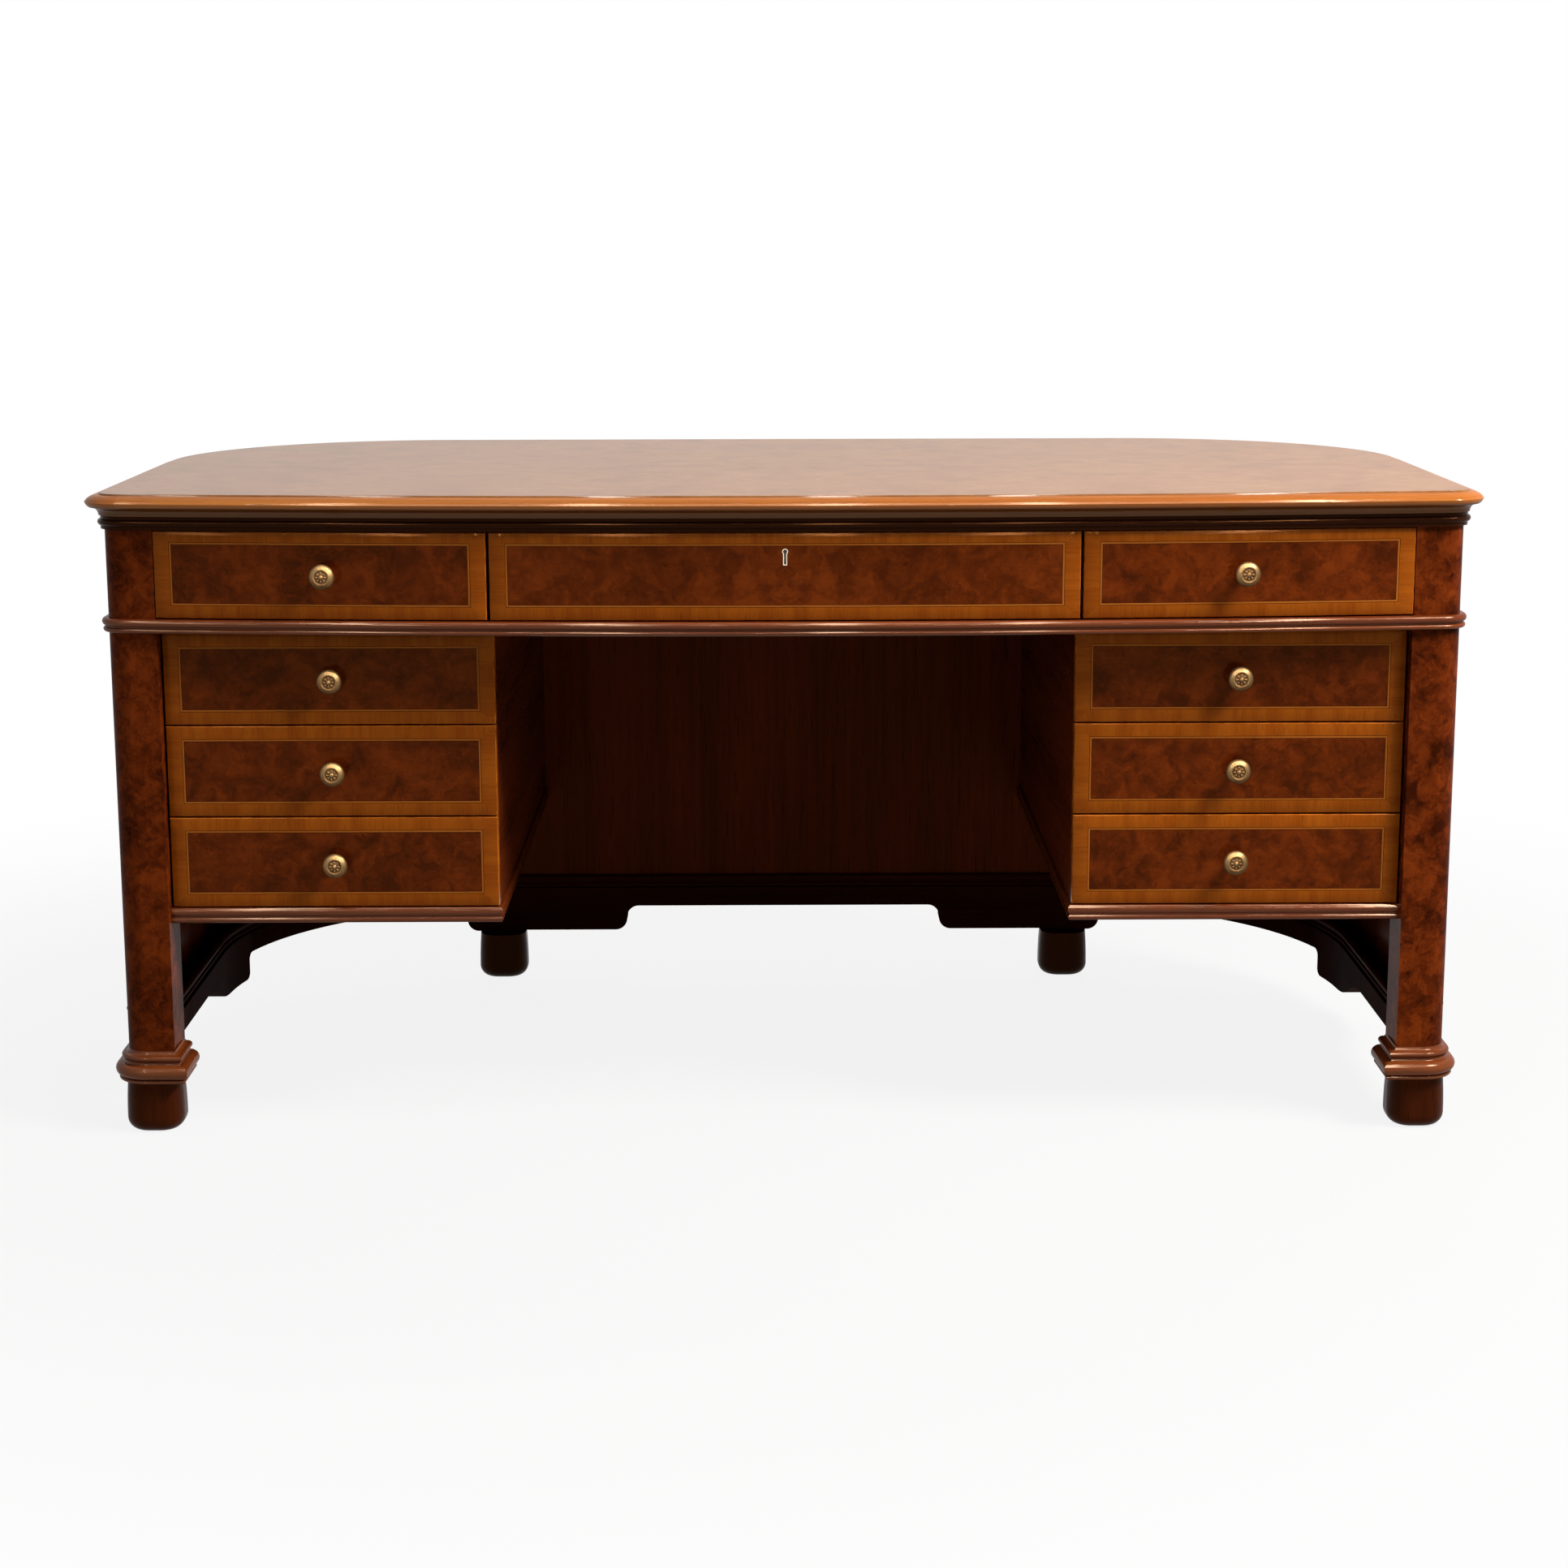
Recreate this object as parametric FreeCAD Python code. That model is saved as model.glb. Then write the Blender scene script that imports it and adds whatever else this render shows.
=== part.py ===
import FreeCAD, Part
import math
import os

# A bow-fronted pedestal desk with a curved back, in millimetres
# +X is to the right as one sits at it, +Y is to the back, +Z is up
# The origin is on the floor under the middle of the bounding box

V = FreeCAD.Vector
UP = V(0, 0, 1)
CENTRE = V(0, 0, 0)

# Whole desk
desk_width = 1650.0
desk_depth = 864.0
desk_height = 780.0

# Fits and clearances
cut_overrun = 6.0
running_clearance = 0.35
guide_clearance = 2.0
front_gap = 1.5
overlay_gap = 1.0

# Top and its lipping
top_thickness = 24.0
top_lip = 2.0
lip_reach = 17.0
lip_bottom_drop = 26.0
lip_nose_drop = 10.0
lip_under_drop = 16.5
lip_under_reach = 12.5
lip_foot_reach = 1.5

# Plan of the top's edge
front_corner_radius = 33.0
rear_corner_radius = 330.0
bow_rise = 38.0

# Sub-top and its bead
case_inset = 5.0
sub_top_thickness = 18.0
sub_bead_reach = 8.0
sub_fillet_reach = 4.5
sub_fillet_height = 4.0
sub_bead_height = 8.0

# Case walls
wall_thickness = 20.0
back_thickness = 18.0

# Corner posts
post_width = 61.0
post_depth = 61.0

# Collars on the posts
collar_height = 38.0
collar_reach = 17.0
collar_bead_reach = 13.0
collar_ring_reach = 9.0
collar_waist_reach = 6.5
collar_bead_height = 4.5
collar_bead_base = 11.0
collar_torus_height = 17.0
collar_waist_height = 5.0
collar_ring_height = 6.5

# Feet
foot_height = 65.0
foot_width = 70.0
foot_bulge = 2.0
foot_corner_radius = 26.0
foot_toe_radius = 16.0

# Frieze
frieze_opening_height = 105.5
frieze_floor_thickness = 16.5
frieze_bead_reach = 8.0
frieze_front_thickness = 20.0
frieze_division_x = 347.0
frieze_front_parting = 4.0
divider_thickness = 18.0

# Pedestals
kneehole_half_width = 346.0
pedestal_setback = 17.0
pedestal_bottom_z = 260.0
pedestal_bottom_thickness = 18.0
pedestal_side_thickness = 18.0
pedestal_back_thickness = 12.0
pedestal_wall_clearance = 36.5
drawer_tail_clearance = 78.0
pedestal_bead_reach = 5.0
pedestal_top_gap = 3.0
drawer_levels = 3
post_gap = 2.5
runner_thickness = 12.0
runner_strip_width = 30.0

# Drawers
front_thickness = 20.0
box_side_thickness = 10.0
box_back_thickness = 10.0
box_bottom_thickness = 5.0
box_bottom_rise = 8.0
box_top_clearance = 12.0
arris = 1.0

# Knobs
knob_diameter = 30.0
knob_stand = 28.0
knob_rose_diameter = 19.0
knob_rose_thickness = 2.5
knob_neck_diameter = 10.0
knob_rim_thickness = 3.0
knob_dome_height = 7.0
knob_ring_diameter = 17.0
knob_ring_depth = 1.2
pedestal_knob_x = 540.0
frieze_knob_x = 537.5
knob_rise = 2.0

# Keyhole lining, lock and bolt of the middle drawer
keyhole_centre_below_top = 23.5
keyhole_round_radius = 3.4
keyhole_height = 19.5
keyhole_leg_width = 4.6
keyhole_wall = 0.9
keyhole_lining_depth = 8.0
lock_width = 60.0
lock_height = 44.0
lock_depth = 14.0
lock_top_drop = 2.5
bolt_width = 24.0
bolt_thickness = 8.0
bolt_height = 22.0
bolt_travel = 8.0
bolt_drop = 1.0
bolt_clearance = 0.4
mortise_clearance = 2.0

# Plinth, its bracket drops and its mouldings
plinth_top_z = 128.0
plinth_bottom_z = 101.0
drop_bottom_z = 65.0
plinth_proud = 4.0
plinth_side_thickness = 57.0
plinth_back_thickness = 34.0
plinth_inner_radius = 370.0
plinth_scribe_gap = 0.5
base_bead_height = 18.0
base_bead_reach = 9.0
inner_bead_setback = 2.0
inner_bead_depth = 10.0
side_drop_start = 200.0
side_drop_front_run = 150.0
side_drop_foot = 62.0
side_drop_back_run = 20.0
back_drop_inner_x = 212.0
back_drop_run = 34.0
back_drop_foot = 199.0

# Shares of a pair of beads: lower bead, groove, upper bead
pair_height_shares = (0.36, 0.08, 0.56)
pair_reach_shares = (0.85, 0.5, 1.0)
# Place of the middle of a thumb curve between its ends, across and down
thumb_share = 0.66
# Place of the middle of a hollow curve between its ends, across and down
hollow_share = 0.72
# Place of the collar torus's nose in its height
nose_share = 0.5

# Sizes that follow from the above
half_width = desk_width / 2 - lip_reach
front_y = -desk_depth / 2 + lip_reach
back_y = desk_depth / 2 - lip_reach
half_chord = half_width - front_corner_radius
bow_radius = (half_chord ** 2 + bow_rise ** 2) / (2 * bow_rise)
bow_centre_y = front_y + bow_radius
corner_reach = bow_radius - front_corner_radius
corner_y = bow_centre_y - math.sqrt(corner_reach ** 2 - half_chord ** 2)
case_half = half_width - case_inset
case_back_y = back_y - case_inset
case_corner = front_corner_radius - case_inset
rear_radius = rear_corner_radius - case_inset
rear_x = half_width - rear_corner_radius
rear_y = back_y - rear_corner_radius
top_bottom = desk_height - top_thickness
case_top = top_bottom - sub_top_thickness
post_inner_x = case_half - post_width
post_front_y = corner_y - case_corner
post_back_y = post_front_y + post_depth
collar_top = foot_height + collar_height
frieze_floor_top = case_top - frieze_opening_height
frieze_floor_bottom = frieze_floor_top - frieze_floor_thickness
pedestal_face_y = post_front_y + pedestal_setback
pedestal_front_back_y = pedestal_face_y + front_thickness
carcass_front_y = pedestal_front_back_y + overlay_gap
curved_wall_y = rear_y + math.sqrt((rear_radius - back_thickness) ** 2 - (post_inner_x - rear_x) ** 2)
pedestal_back_y = curved_wall_y - pedestal_wall_clearance - pedestal_back_thickness
box_end_y = pedestal_back_y - drawer_tail_clearance
pedestal_floor_z = pedestal_bottom_z + pedestal_bottom_thickness
level_pitch = (frieze_floor_bottom - pedestal_top_gap - pedestal_floor_z) / drawer_levels
wall_inner_x = case_half - wall_thickness
back_inner_y = case_back_y - back_thickness
inner_side_x = kneehole_half_width + pedestal_side_thickness
outer_side_x = post_inner_x - pedestal_side_thickness


def mirrored(shape):
    return shape.mirror(CENTRE, V(1, 0, 0))


def box_between(x0, x1, y0, y1, z0, z1):
    return Part.makeBox(x1 - x0, y1 - y0, z1 - z0, V(x0, y0, z0))


def group(solids):
    return Part.Compound(solids)


def tidy(shape):
    return shape.removeSplitter().Solids[0]


# Runs of a plan outline

def arc_run(x, y, radius, start, sweep):
    return {"centre": V(x, y, 0), "radius": radius, "start": start, "sweep": sweep}


def line_run(x0, y0, x1, y1):
    return {"from": V(x0, y0, 0), "to": V(x1, y1, 0)}


def round_end(side_x, near_y, far_y, radius):
    """Side, rear corner, back, rear corner and side, counterclockwise from above"""
    turn_x = side_x - radius
    turn_y = far_y - radius
    return {
        "right": line_run(side_x, near_y, side_x, turn_y),
        "rear_right": arc_run(turn_x, turn_y, radius, 0, 90),
        "back": line_run(turn_x, far_y, -turn_x, far_y),
        "rear_left": arc_run(-turn_x, turn_y, radius, 90, 90),
        "left": line_run(-side_x, turn_y, -side_x, near_y),
    }


def whole_outline(inset):
    """The desk's plan, set in from the top's edge, with its bow in front"""
    lean = math.degrees(math.atan2(half_chord, bow_centre_y - corner_y))
    corner = front_corner_radius - inset
    runs = {"front": arc_run(0, bow_centre_y, bow_radius - inset, -90 - lean, 2 * lean)}
    runs["front_right"] = arc_run(half_chord, corner_y, corner, lean - 90, 90 - lean)
    runs.update(round_end(half_width - inset, corner_y, back_y - inset, rear_corner_radius - inset))
    runs["front_left"] = arc_run(-half_chord, corner_y, corner, 180, 90 - lean)
    return runs


def bow_y(x, inset):
    """Depth of the bowed front at a place across the desk"""
    return bow_centre_y - math.sqrt((bow_radius - inset) ** 2 - x ** 2)


def on_circle(centre, radius, degrees):
    turn = math.radians(degrees)
    return centre + V(math.cos(turn), math.sin(turn), 0) * radius


def run_edge(run):
    if "to" in run:
        return Part.LineSegment(run["from"], run["to"]).toShape()
    ends = [on_circle(run["centre"], run["radius"], run["start"] + run["sweep"] * part) for part in (0, 0.5, 1)]
    return Part.Arc(*ends).toShape()


def plan_prism(runs, z0, z1):
    """Solid between two heights inside a closed or round-ended set of runs"""
    edges = [run_edge(run) for run in runs.values()]
    if len(edges) < 8:
        edges.append(Part.LineSegment(runs["left"]["to"], runs["right"]["from"]).toShape())
    face = Part.Face(Part.Wire(Part.__sortEdges__(edges)))
    face.translate(UP * z0)
    return face.extrude(UP * (z1 - z0))


# Mouldings

def closed_face(place, start, steps):
    """Face from a start and steps, each an end point or a middle and an end of an arc"""
    here = place(*start)
    edges = []
    for step in steps + [start]:
        if isinstance(step[0], tuple):
            end = place(*step[1])
            edges.append(Part.Arc(here, place(*step[0]), end).toShape())
        else:
            end = place(*step)
            edges.append(Part.LineSegment(here, end).toShape())
        here = end
    return Part.Face(Part.Wire(edges))


def along_run(run, start, steps):
    """Profile, given in distance outwards and height, carried along one run"""
    if "to" in run:
        travel = run["to"] - run["from"]
        outward = V(travel.y, -travel.x, 0).normalize()
        origin = run["from"]
    else:
        origin = on_circle(run["centre"], run["radius"], run["start"])
        outward = (origin - run["centre"]).normalize()

    def place(out, z):
        return origin + outward * out + UP * z

    face = closed_face(place, start, steps)
    if "to" in run:
        return face.extrude(travel)
    return face.revolve(run["centre"], UP, run["sweep"])


def bead_pair(z0, z1, reach, seat):
    """Profile of two beads with a groove between them"""
    height = z1 - z0
    low, groove, high = pair_height_shares
    low_reach, groove_reach, high_reach = [reach * share for share in pair_reach_shares]
    z_low = z0 + height * low
    z_groove = z_low + height * groove
    steps = [
        (seat + groove_reach, z0),
        ((seat + low_reach, (z0 + z_low) / 2), (seat + groove_reach, z_low)),
        (seat + groove_reach, z_groove),
        ((seat + high_reach, (z_groove + z1) / 2), (seat + groove_reach, z1)),
        (seat, z1),
    ]
    return (seat, z0), steps


def lip_profile():
    """Thumb-nosed lipping, hollow below, that runs round the top"""
    z_top = desk_height - top_lip
    z_nose = desk_height - lip_nose_drop
    z_under = desk_height - lip_under_drop
    z_foot = desk_height - lip_bottom_drop
    thumb = (lip_reach * thumb_share, z_nose + (z_top - z_nose) * thumb_share)
    under_mid = (lip_under_reach + (lip_reach - lip_under_reach) * hollow_share, (z_under + z_nose) / 2)
    hollow = (
        lip_under_reach + (lip_foot_reach - lip_under_reach) * hollow_share,
        z_under + (z_foot - z_under) * (1 - hollow_share),
    )
    steps = [
        (0, z_top),
        (thumb, (lip_reach, z_nose)),
        (under_mid, (lip_under_reach, z_under)),
        (hollow, (lip_foot_reach, z_foot)),
    ]
    return (0, z_foot), steps


def sub_bead_profile():
    """Fillet and bead under the lipping"""
    z_fillet = case_top + sub_fillet_height
    z_bead = z_fillet + sub_bead_height
    steps = [
        (sub_fillet_reach, case_top),
        (sub_fillet_reach, z_fillet),
        ((sub_bead_reach, (z_fillet + z_bead) / 2), (sub_fillet_reach, z_bead)),
        (sub_fillet_reach, top_bottom - top_lip),
        (0, top_bottom - top_lip),
    ]
    return (0, case_top), steps


def mouldings(runs, profile, names):
    start, steps = profile
    return group([along_run(runs[name], start, steps) for name in names])


ALL_ROUND = ("front", "front_right", "right", "rear_right", "back", "rear_left", "left", "front_left")
ROUND_END = ("right", "rear_right", "back", "rear_left", "left")


# Top

def top_panel():
    return plan_prism(whole_outline(0), top_bottom, desk_height)


def sub_top():
    board = plan_prism(whole_outline(case_inset), case_top, top_bottom)
    half = bolt_width / 2 + mortise_clearance
    y0 = bolt_front_y() - mortise_clearance
    y1 = bolt_front_y() + bolt_thickness + mortise_clearance
    depth = lock_bolt_top() + bolt_travel + mortise_clearance
    return board.cut(box_between(-half, half, y0, y1, case_top - cut_overrun, depth))


# Blocks with a moulded outline all round

def moulded_block(x0, x1, y0, y1, round_corners, corner, start, steps):
    """Mitred block whose named corners are turned instead"""
    zs = [start[1]] + [(step[1][1] if isinstance(step[0], tuple) else step[1]) for step in steps]
    z0, z1 = min(zs), max(zs)
    far = (x1 - x0) + (y1 - y0)

    def side(axis, edge, sign, middle):
        def place(out, z):
            at = edge + sign * out
            return V(at, y0 - far, z) if axis == "x" else V(x0 - far, at, z)

        inward = sign * (middle - edge)
        inner = [(inward, z1), (inward, z0)]
        face = closed_face(place, start, steps + inner)
        reach = (y1 - y0) + 2 * far if axis == "x" else (x1 - x0) + 2 * far
        return face.extrude(V(0, reach, 0) if axis == "x" else V(reach, 0, 0))

    x_mid = (x0 + x1) / 2
    y_mid = (y0 + y1) / 2
    along_y = side("x", x1, 1, x_mid).fuse(side("x", x0, -1, x_mid))
    along_x = side("y", y1, 1, y_mid).fuse(side("y", y0, -1, y_mid))
    block = along_y.common(along_x)
    for sx, sy in round_corners:
        cx = (x1 if sx > 0 else x0) - sx * corner
        cy = (y1 if sy > 0 else y0) - sy * corner
        x_far = cx + sx * far
        y_far = cy + sy * far
        square = box_between(min(cx, x_far), max(cx, x_far), min(cy, y_far), max(cy, y_far), z0 - far, z1 + far)
        turn = {(1, 1): 0, (-1, 1): 90, (-1, -1): 180, (1, -1): 270}[(sx, sy)]
        centre = V(cx, cy, 0)
        outward = on_circle(CENTRE, 1, turn)

        def place(out, z):
            return centre + outward * (corner + out) + UP * z

        quarter = closed_face(place, start, steps + [(-corner, z1), (-corner, z0)]).revolve(centre, UP, 90)
        block = block.cut(square).fuse(quarter)
    return tidy(block)


def collar_profile():
    """Bead, torus, hollow and ring from the foot up to the post"""
    z0 = foot_height
    z_bead = z0 + collar_bead_height
    z_torus = z_bead + collar_torus_height
    z_waist = z_torus + collar_waist_height
    z_ring = z_waist + collar_ring_height
    z_top = foot_height + collar_height
    waist_z = z_torus + collar_waist_height * (1 - hollow_share)
    cove_z = z_ring + (z_top - z_ring) * (1 - hollow_share)
    steps = [
        ((collar_bead_reach, (z0 + z_bead) / 2), (collar_bead_base, z_bead)),
        (collar_ring_reach, z_bead),
        ((collar_reach, z_bead + collar_torus_height * nose_share), (collar_ring_reach, z_torus)),
        ((collar_waist_reach, waist_z), (collar_waist_reach, z_waist)),
        ((collar_ring_reach, (z_waist + z_ring) / 2), (collar_waist_reach, z_ring)),
        ((collar_waist_reach * (1 - hollow_share), cove_z), (0, z_top)),
    ]
    return (collar_bead_base, z0), steps


def foot_collar():
    start, steps = collar_profile()
    corners = [(1, -1)]
    return moulded_block(post_inner_x, case_half, post_front_y, post_back_y, corners, case_corner, start, steps)


def foot_at(x, y):
    """Cushion-shaped block foot with its toe rounded under"""
    half = foot_width / 2 - foot_bulge
    toe = foot_toe_radius
    heel = (1 - math.cos(math.pi / 4)) * toe
    steps = [
        ((foot_bulge - heel, heel), (foot_bulge, toe)),
        (foot_shoulder(toe), (0, foot_height)),
    ]
    start = (foot_bulge - toe, 0)
    corners = [(1, 1), (1, -1), (-1, 1), (-1, -1)]
    return moulded_block(x - half, x + half, y - half, y + half, corners, foot_corner_radius, start, steps)


def foot_shoulder(toe):
    """Middle of the slow curve from the foot's widest line up to its top"""
    rise = foot_height - toe
    radius = (rise ** 2 + foot_bulge ** 2) / (2 * foot_bulge)
    half_turn = math.asin(rise / radius) / 2
    return foot_bulge - radius * (1 - math.cos(half_turn)), toe + radius * math.sin(half_turn)


def front_foot():
    return foot_at(post_inner_x + post_width / 2, post_front_y + post_depth / 2)


def rear_foot():
    x = back_drop_inner_x + back_drop_run + back_drop_foot - foot_width / 2
    return foot_at(x, case_back_y + plinth_proud - foot_width / 2)


# Case

def post():
    """Square post with a rounded outer corner, whose head follows the bow"""
    r = case_corner
    shaft = box_between(post_inner_x, case_half, post_front_y, post_back_y, collar_top, frieze_floor_bottom)
    square = box_between(case_half - r, case_half, post_front_y, post_front_y + r, collar_top, frieze_floor_bottom)
    centre = V(case_half - r, post_front_y + r, collar_top)
    quarter = Part.makeCylinder(r, frieze_floor_bottom - collar_top, centre, UP, 90)
    quarter.rotate(centre, UP, -90)
    shaft = shaft.cut(square).fuse(quarter)
    head_zone = box_between(
        post_inner_x, half_width, front_y, post_back_y, frieze_floor_bottom, case_top,
    )
    head = plan_prism(whole_outline(case_inset), frieze_floor_bottom, case_top).common(head_zone)
    return tidy(shaft.fuse(head))


def end_panel():
    return box_between(wall_inner_x, case_half, post_back_y, rear_y, plinth_top_z, case_top)


def rear_corner():
    run = arc_run(rear_x, rear_y, rear_radius, 0, 90)
    steps = [(0, plinth_top_z), (0, case_top), (-back_thickness, case_top)]
    return along_run(run, (-back_thickness, plinth_top_z), steps)


def back_panel():
    return box_between(-rear_x, rear_x, back_inner_y, case_back_y, plinth_top_z, case_top)


def long_ogee(x0, z0, x1, z1):
    """Two equal arcs, level at both ends, between two heights"""
    run = x1 - x0
    fall = z1 - z0
    radius = (run ** 2 + fall ** 2) / (4 * abs(fall))
    turn = math.atan2(abs(fall), abs(run))
    side = math.copysign(1, run)
    down = math.copysign(1, fall)
    sweep = radius * math.sin(turn)
    drop = radius * (1 - math.cos(turn))
    return [
        ((x0 + side * sweep, z0 + down * drop), ((x0 + x1) / 2, (z0 + z1) / 2)),
        ((x1 - side * sweep, z1 - down * drop), (x1, z1)),
    ]


def steep_ogee(x0, z0, x1, z1):
    """Two quarter arcs with an upright between them"""
    radius = abs(x1 - x0) / 2
    side = math.copysign(1, x1 - x0)
    rise = math.copysign(1, z1 - z0)
    diagonal = radius * math.sqrt(2) / 2
    x_mid = (x0 + x1) / 2
    steps = [((x0 + side * diagonal, z0 + rise * (radius - diagonal)), (x_mid, z0 + rise * radius))]
    if abs(z1 - z0) > 2 * radius:
        steps.append((x_mid, z1 - rise * radius))
    steps.append(((x1 - side * diagonal, z1 - rise * (radius - diagonal)), (x1, z1)))
    return steps


def side_drop_cutter():
    """What the side's bottom edge leaves open, seen from the side"""
    y0 = post_back_y + side_drop_start
    y1 = y0 + side_drop_front_run
    y2 = y1 + side_drop_foot
    y3 = y2 + side_drop_back_run
    low = drop_bottom_z - cut_overrun
    x0 = back_drop_inner_x + 2 * back_drop_run + back_drop_foot

    def place(y, z):
        return V(x0, y, z)

    near = post_back_y - cut_overrun
    far = case_back_y + plinth_proud + cut_overrun
    steps = [(y0, plinth_bottom_z)] + long_ogee(y0, plinth_bottom_z, y1, drop_bottom_z)
    steps += [(y2, drop_bottom_z)] + steep_ogee(y2, drop_bottom_z, y3, plinth_bottom_z)
    steps += [(far, plinth_bottom_z), (far, low), (near, low)]
    return closed_face(place, (near, plinth_bottom_z), steps).extrude(V(case_half, 0, 0))


def back_drop_cutter():
    """What the back's bottom edge leaves open, seen from the front"""
    x0 = back_drop_inner_x
    x1 = x0 + back_drop_run
    x2 = x1 + back_drop_foot
    x3 = x2 + back_drop_run
    low = drop_bottom_z - cut_overrun
    y0 = rear_y + (back_y - rear_y) / 2

    def place(x, z):
        return V(x, y0, z)

    steps = [(x0, plinth_bottom_z)] + steep_ogee(x0, plinth_bottom_z, x1, drop_bottom_z)
    steps += [(x2, drop_bottom_z)] + steep_ogee(x2, drop_bottom_z, x3, plinth_bottom_z)
    steps += [(x3, low), (0, low)]
    return closed_face(place, (0, plinth_bottom_z), steps).extrude(V(0, rear_corner_radius, 0))


def inner_plinth_runs():
    side = case_half + plinth_proud - plinth_side_thickness
    back = case_back_y + plinth_proud - plinth_back_thickness
    return round_end(side, post_back_y, back, plinth_inner_radius)


def collar_notch():
    """What the plinth's front end leaves open for the collar on the post"""
    y1 = post_back_y + collar_ring_reach + plinth_scribe_gap
    x1 = case_half + plinth_proud + cut_overrun
    return box_between(post_inner_x, x1, post_back_y - cut_overrun, y1, drop_bottom_z, collar_top)


def plinth():
    """Side, corner and back pieces with their bracket drops"""
    side = case_half + plinth_proud
    back = case_back_y + plinth_proud
    outer = plan_prism(round_end(side, post_back_y, back, rear_radius + plinth_proud), drop_bottom_z, plinth_top_z)
    inner = plan_prism(inner_plinth_runs(), drop_bottom_z - cut_overrun, plinth_top_z + cut_overrun)
    ring = outer.cut(inner)
    for cutter in (side_drop_cutter(), back_drop_cutter(), collar_notch()):
        ring = ring.cut(cutter).cut(mirrored(cutter))
    split_y = post_back_y + side_drop_start + side_drop_front_run + side_drop_foot + side_drop_back_run
    split_x = back_drop_inner_x + 2 * back_drop_run + back_drop_foot
    z0, z1 = drop_bottom_z, plinth_top_z
    side_piece = ring.common(box_between(0, side, post_back_y, split_y, z0, z1))
    corner_piece = ring.common(box_between(split_x, side, split_y, back, z0, z1))
    back_piece = ring.common(box_between(-split_x, split_x, split_y, back, z0, z1))
    right = [side_piece.Solids[0], corner_piece.Solids[0]]
    return group(right + [mirrored(solid) for solid in right] + [back_piece.Solids[0]])


def base_mouldings():
    """Bead pairs on the plinth, outside on the walls and inside on its ledge"""
    z1 = plinth_top_z + base_bead_height
    outside = round_end(case_half, post_back_y, case_back_y, rear_radius)
    start, steps = bead_pair(plinth_top_z, z1, base_bead_reach, 0)
    solids = [along_run(outside[name], start, steps) for name in ROUND_END]
    # The inner pair faces into the kneehole, so its profile is turned about
    inside = inner_plinth_runs()
    start, steps = bead_pair(plinth_top_z, z1, inner_bead_depth - inner_bead_setback, -inner_bead_depth)
    turned = [(-step[0], step[1]) if not isinstance(step[0], tuple) else
              ((-step[0][0], step[0][1]), (-step[1][0], step[1][1])) for step in steps]
    solids += [along_run(inside[name], (-start[0], start[1]), turned) for name in ROUND_END]
    return group(solids)


# Frieze

def frieze_floor():
    """Board that carries the frieze drawers and ceils the kneehole"""
    z0, z1 = frieze_floor_bottom, frieze_floor_top
    between = box_between(-post_inner_x, post_inner_x, front_y, post_back_y, z0, z1)
    behind = box_between(-half_width, half_width, post_back_y, back_y, z0, z1)
    front = plan_prism(whole_outline(case_inset), z0, z1).common(between)
    inner = round_end(wall_inner_x, post_back_y, back_inner_y, rear_radius - back_thickness)
    rear = plan_prism(inner, z0, z1).common(behind)
    return tidy(front.fuse(rear))


def frieze_dividers():
    """Guides at both sides of each frieze drawer"""
    middle = frieze_division_x - divider_thickness / 2
    z0, z1 = frieze_floor_top, case_top
    y0 = carcass_front_y
    inner = box_between(middle, middle + divider_thickness, y0, pedestal_back_y, z0, z1)
    outer = box_between(outer_side_x, post_inner_x, y0, pedestal_back_y, z0, z1)
    return group([inner, outer, mirrored(inner), mirrored(outer)])


def frieze_back():
    y1 = pedestal_back_y + pedestal_back_thickness
    return box_between(-post_inner_x, post_inner_x, pedestal_back_y, y1, frieze_floor_top, case_top)


def frieze_front(x0, x1):
    """Bowed drawer front of even thickness"""
    z0 = frieze_floor_top + front_gap
    z1 = case_top - front_gap
    outer = plan_prism(whole_outline(case_inset), z0, z1)
    hollow_radius = bow_radius - case_inset - frieze_front_thickness
    hollow = Part.makeCylinder(hollow_radius, z1 - z0, V(0, bow_centre_y, z0), UP)
    zone = box_between(x0, x1, front_y, carcass_front_y, z0, z1)
    front = outer.common(zone).cut(hollow)
    run = whole_outline(case_inset)["front"]
    return softened(front, run, [(x0, -1), (x1, 1)], lambda x: bow_y(x, case_inset), z0, z1)


def softened(front, run, ends, face_y, z0, z1):
    """Small flat arris along the front edges of a drawer front"""
    for z, side in ((z0, -1), (z1, 1)):
        outer = [(arris, z + side * arris), (arris, z - side * 2 * arris)]
        front = front.cut(along_run(run, (-2 * arris, z + side * arris), outer))
    for x, side in ends:

        def place(out, depth):
            return V(x + side * out, face_y(x) + depth, z0 - arris)

        face = closed_face(place, (-2 * arris, -arris), [(arris, 2 * arris), (arris, -arris)])
        front = front.cut(face.extrude(UP * (z1 - z0 + 2 * arris)))
    return front.Solids[0]


def frieze_box(x0, x1):
    """Sides, back and bottom of a frieze drawer, cut to its bowed front"""
    radius = bow_radius - case_inset - frieze_front_thickness
    z0 = frieze_floor_top + running_clearance
    z1 = case_top - box_top_clearance
    behind = Part.makeCylinder(radius, z1 - z0, V(0, bow_centre_y, z0), UP)
    return group([solid.common(behind).Solids[0] for solid in box_solids(x0, x1, front_y, z0, z1)])


def box_solids(x0, x1, y0, z0, z1):
    t = box_side_thickness
    left = box_between(x0, x0 + t, y0, box_end_y, z0, z1)
    right = box_between(x1 - t, x1, y0, box_end_y, z0, z1)
    back = box_between(x0 + t, x1 - t, box_end_y - box_back_thickness, box_end_y, z0, z1)
    floor_z = z0 + box_bottom_rise
    y1 = box_end_y - box_back_thickness
    bottom = box_between(x0 + t, x1 - t, y0, y1, floor_z, floor_z + box_bottom_thickness)
    return [left, right, back, bottom]


# Pedestals, modelled on the right

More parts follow.
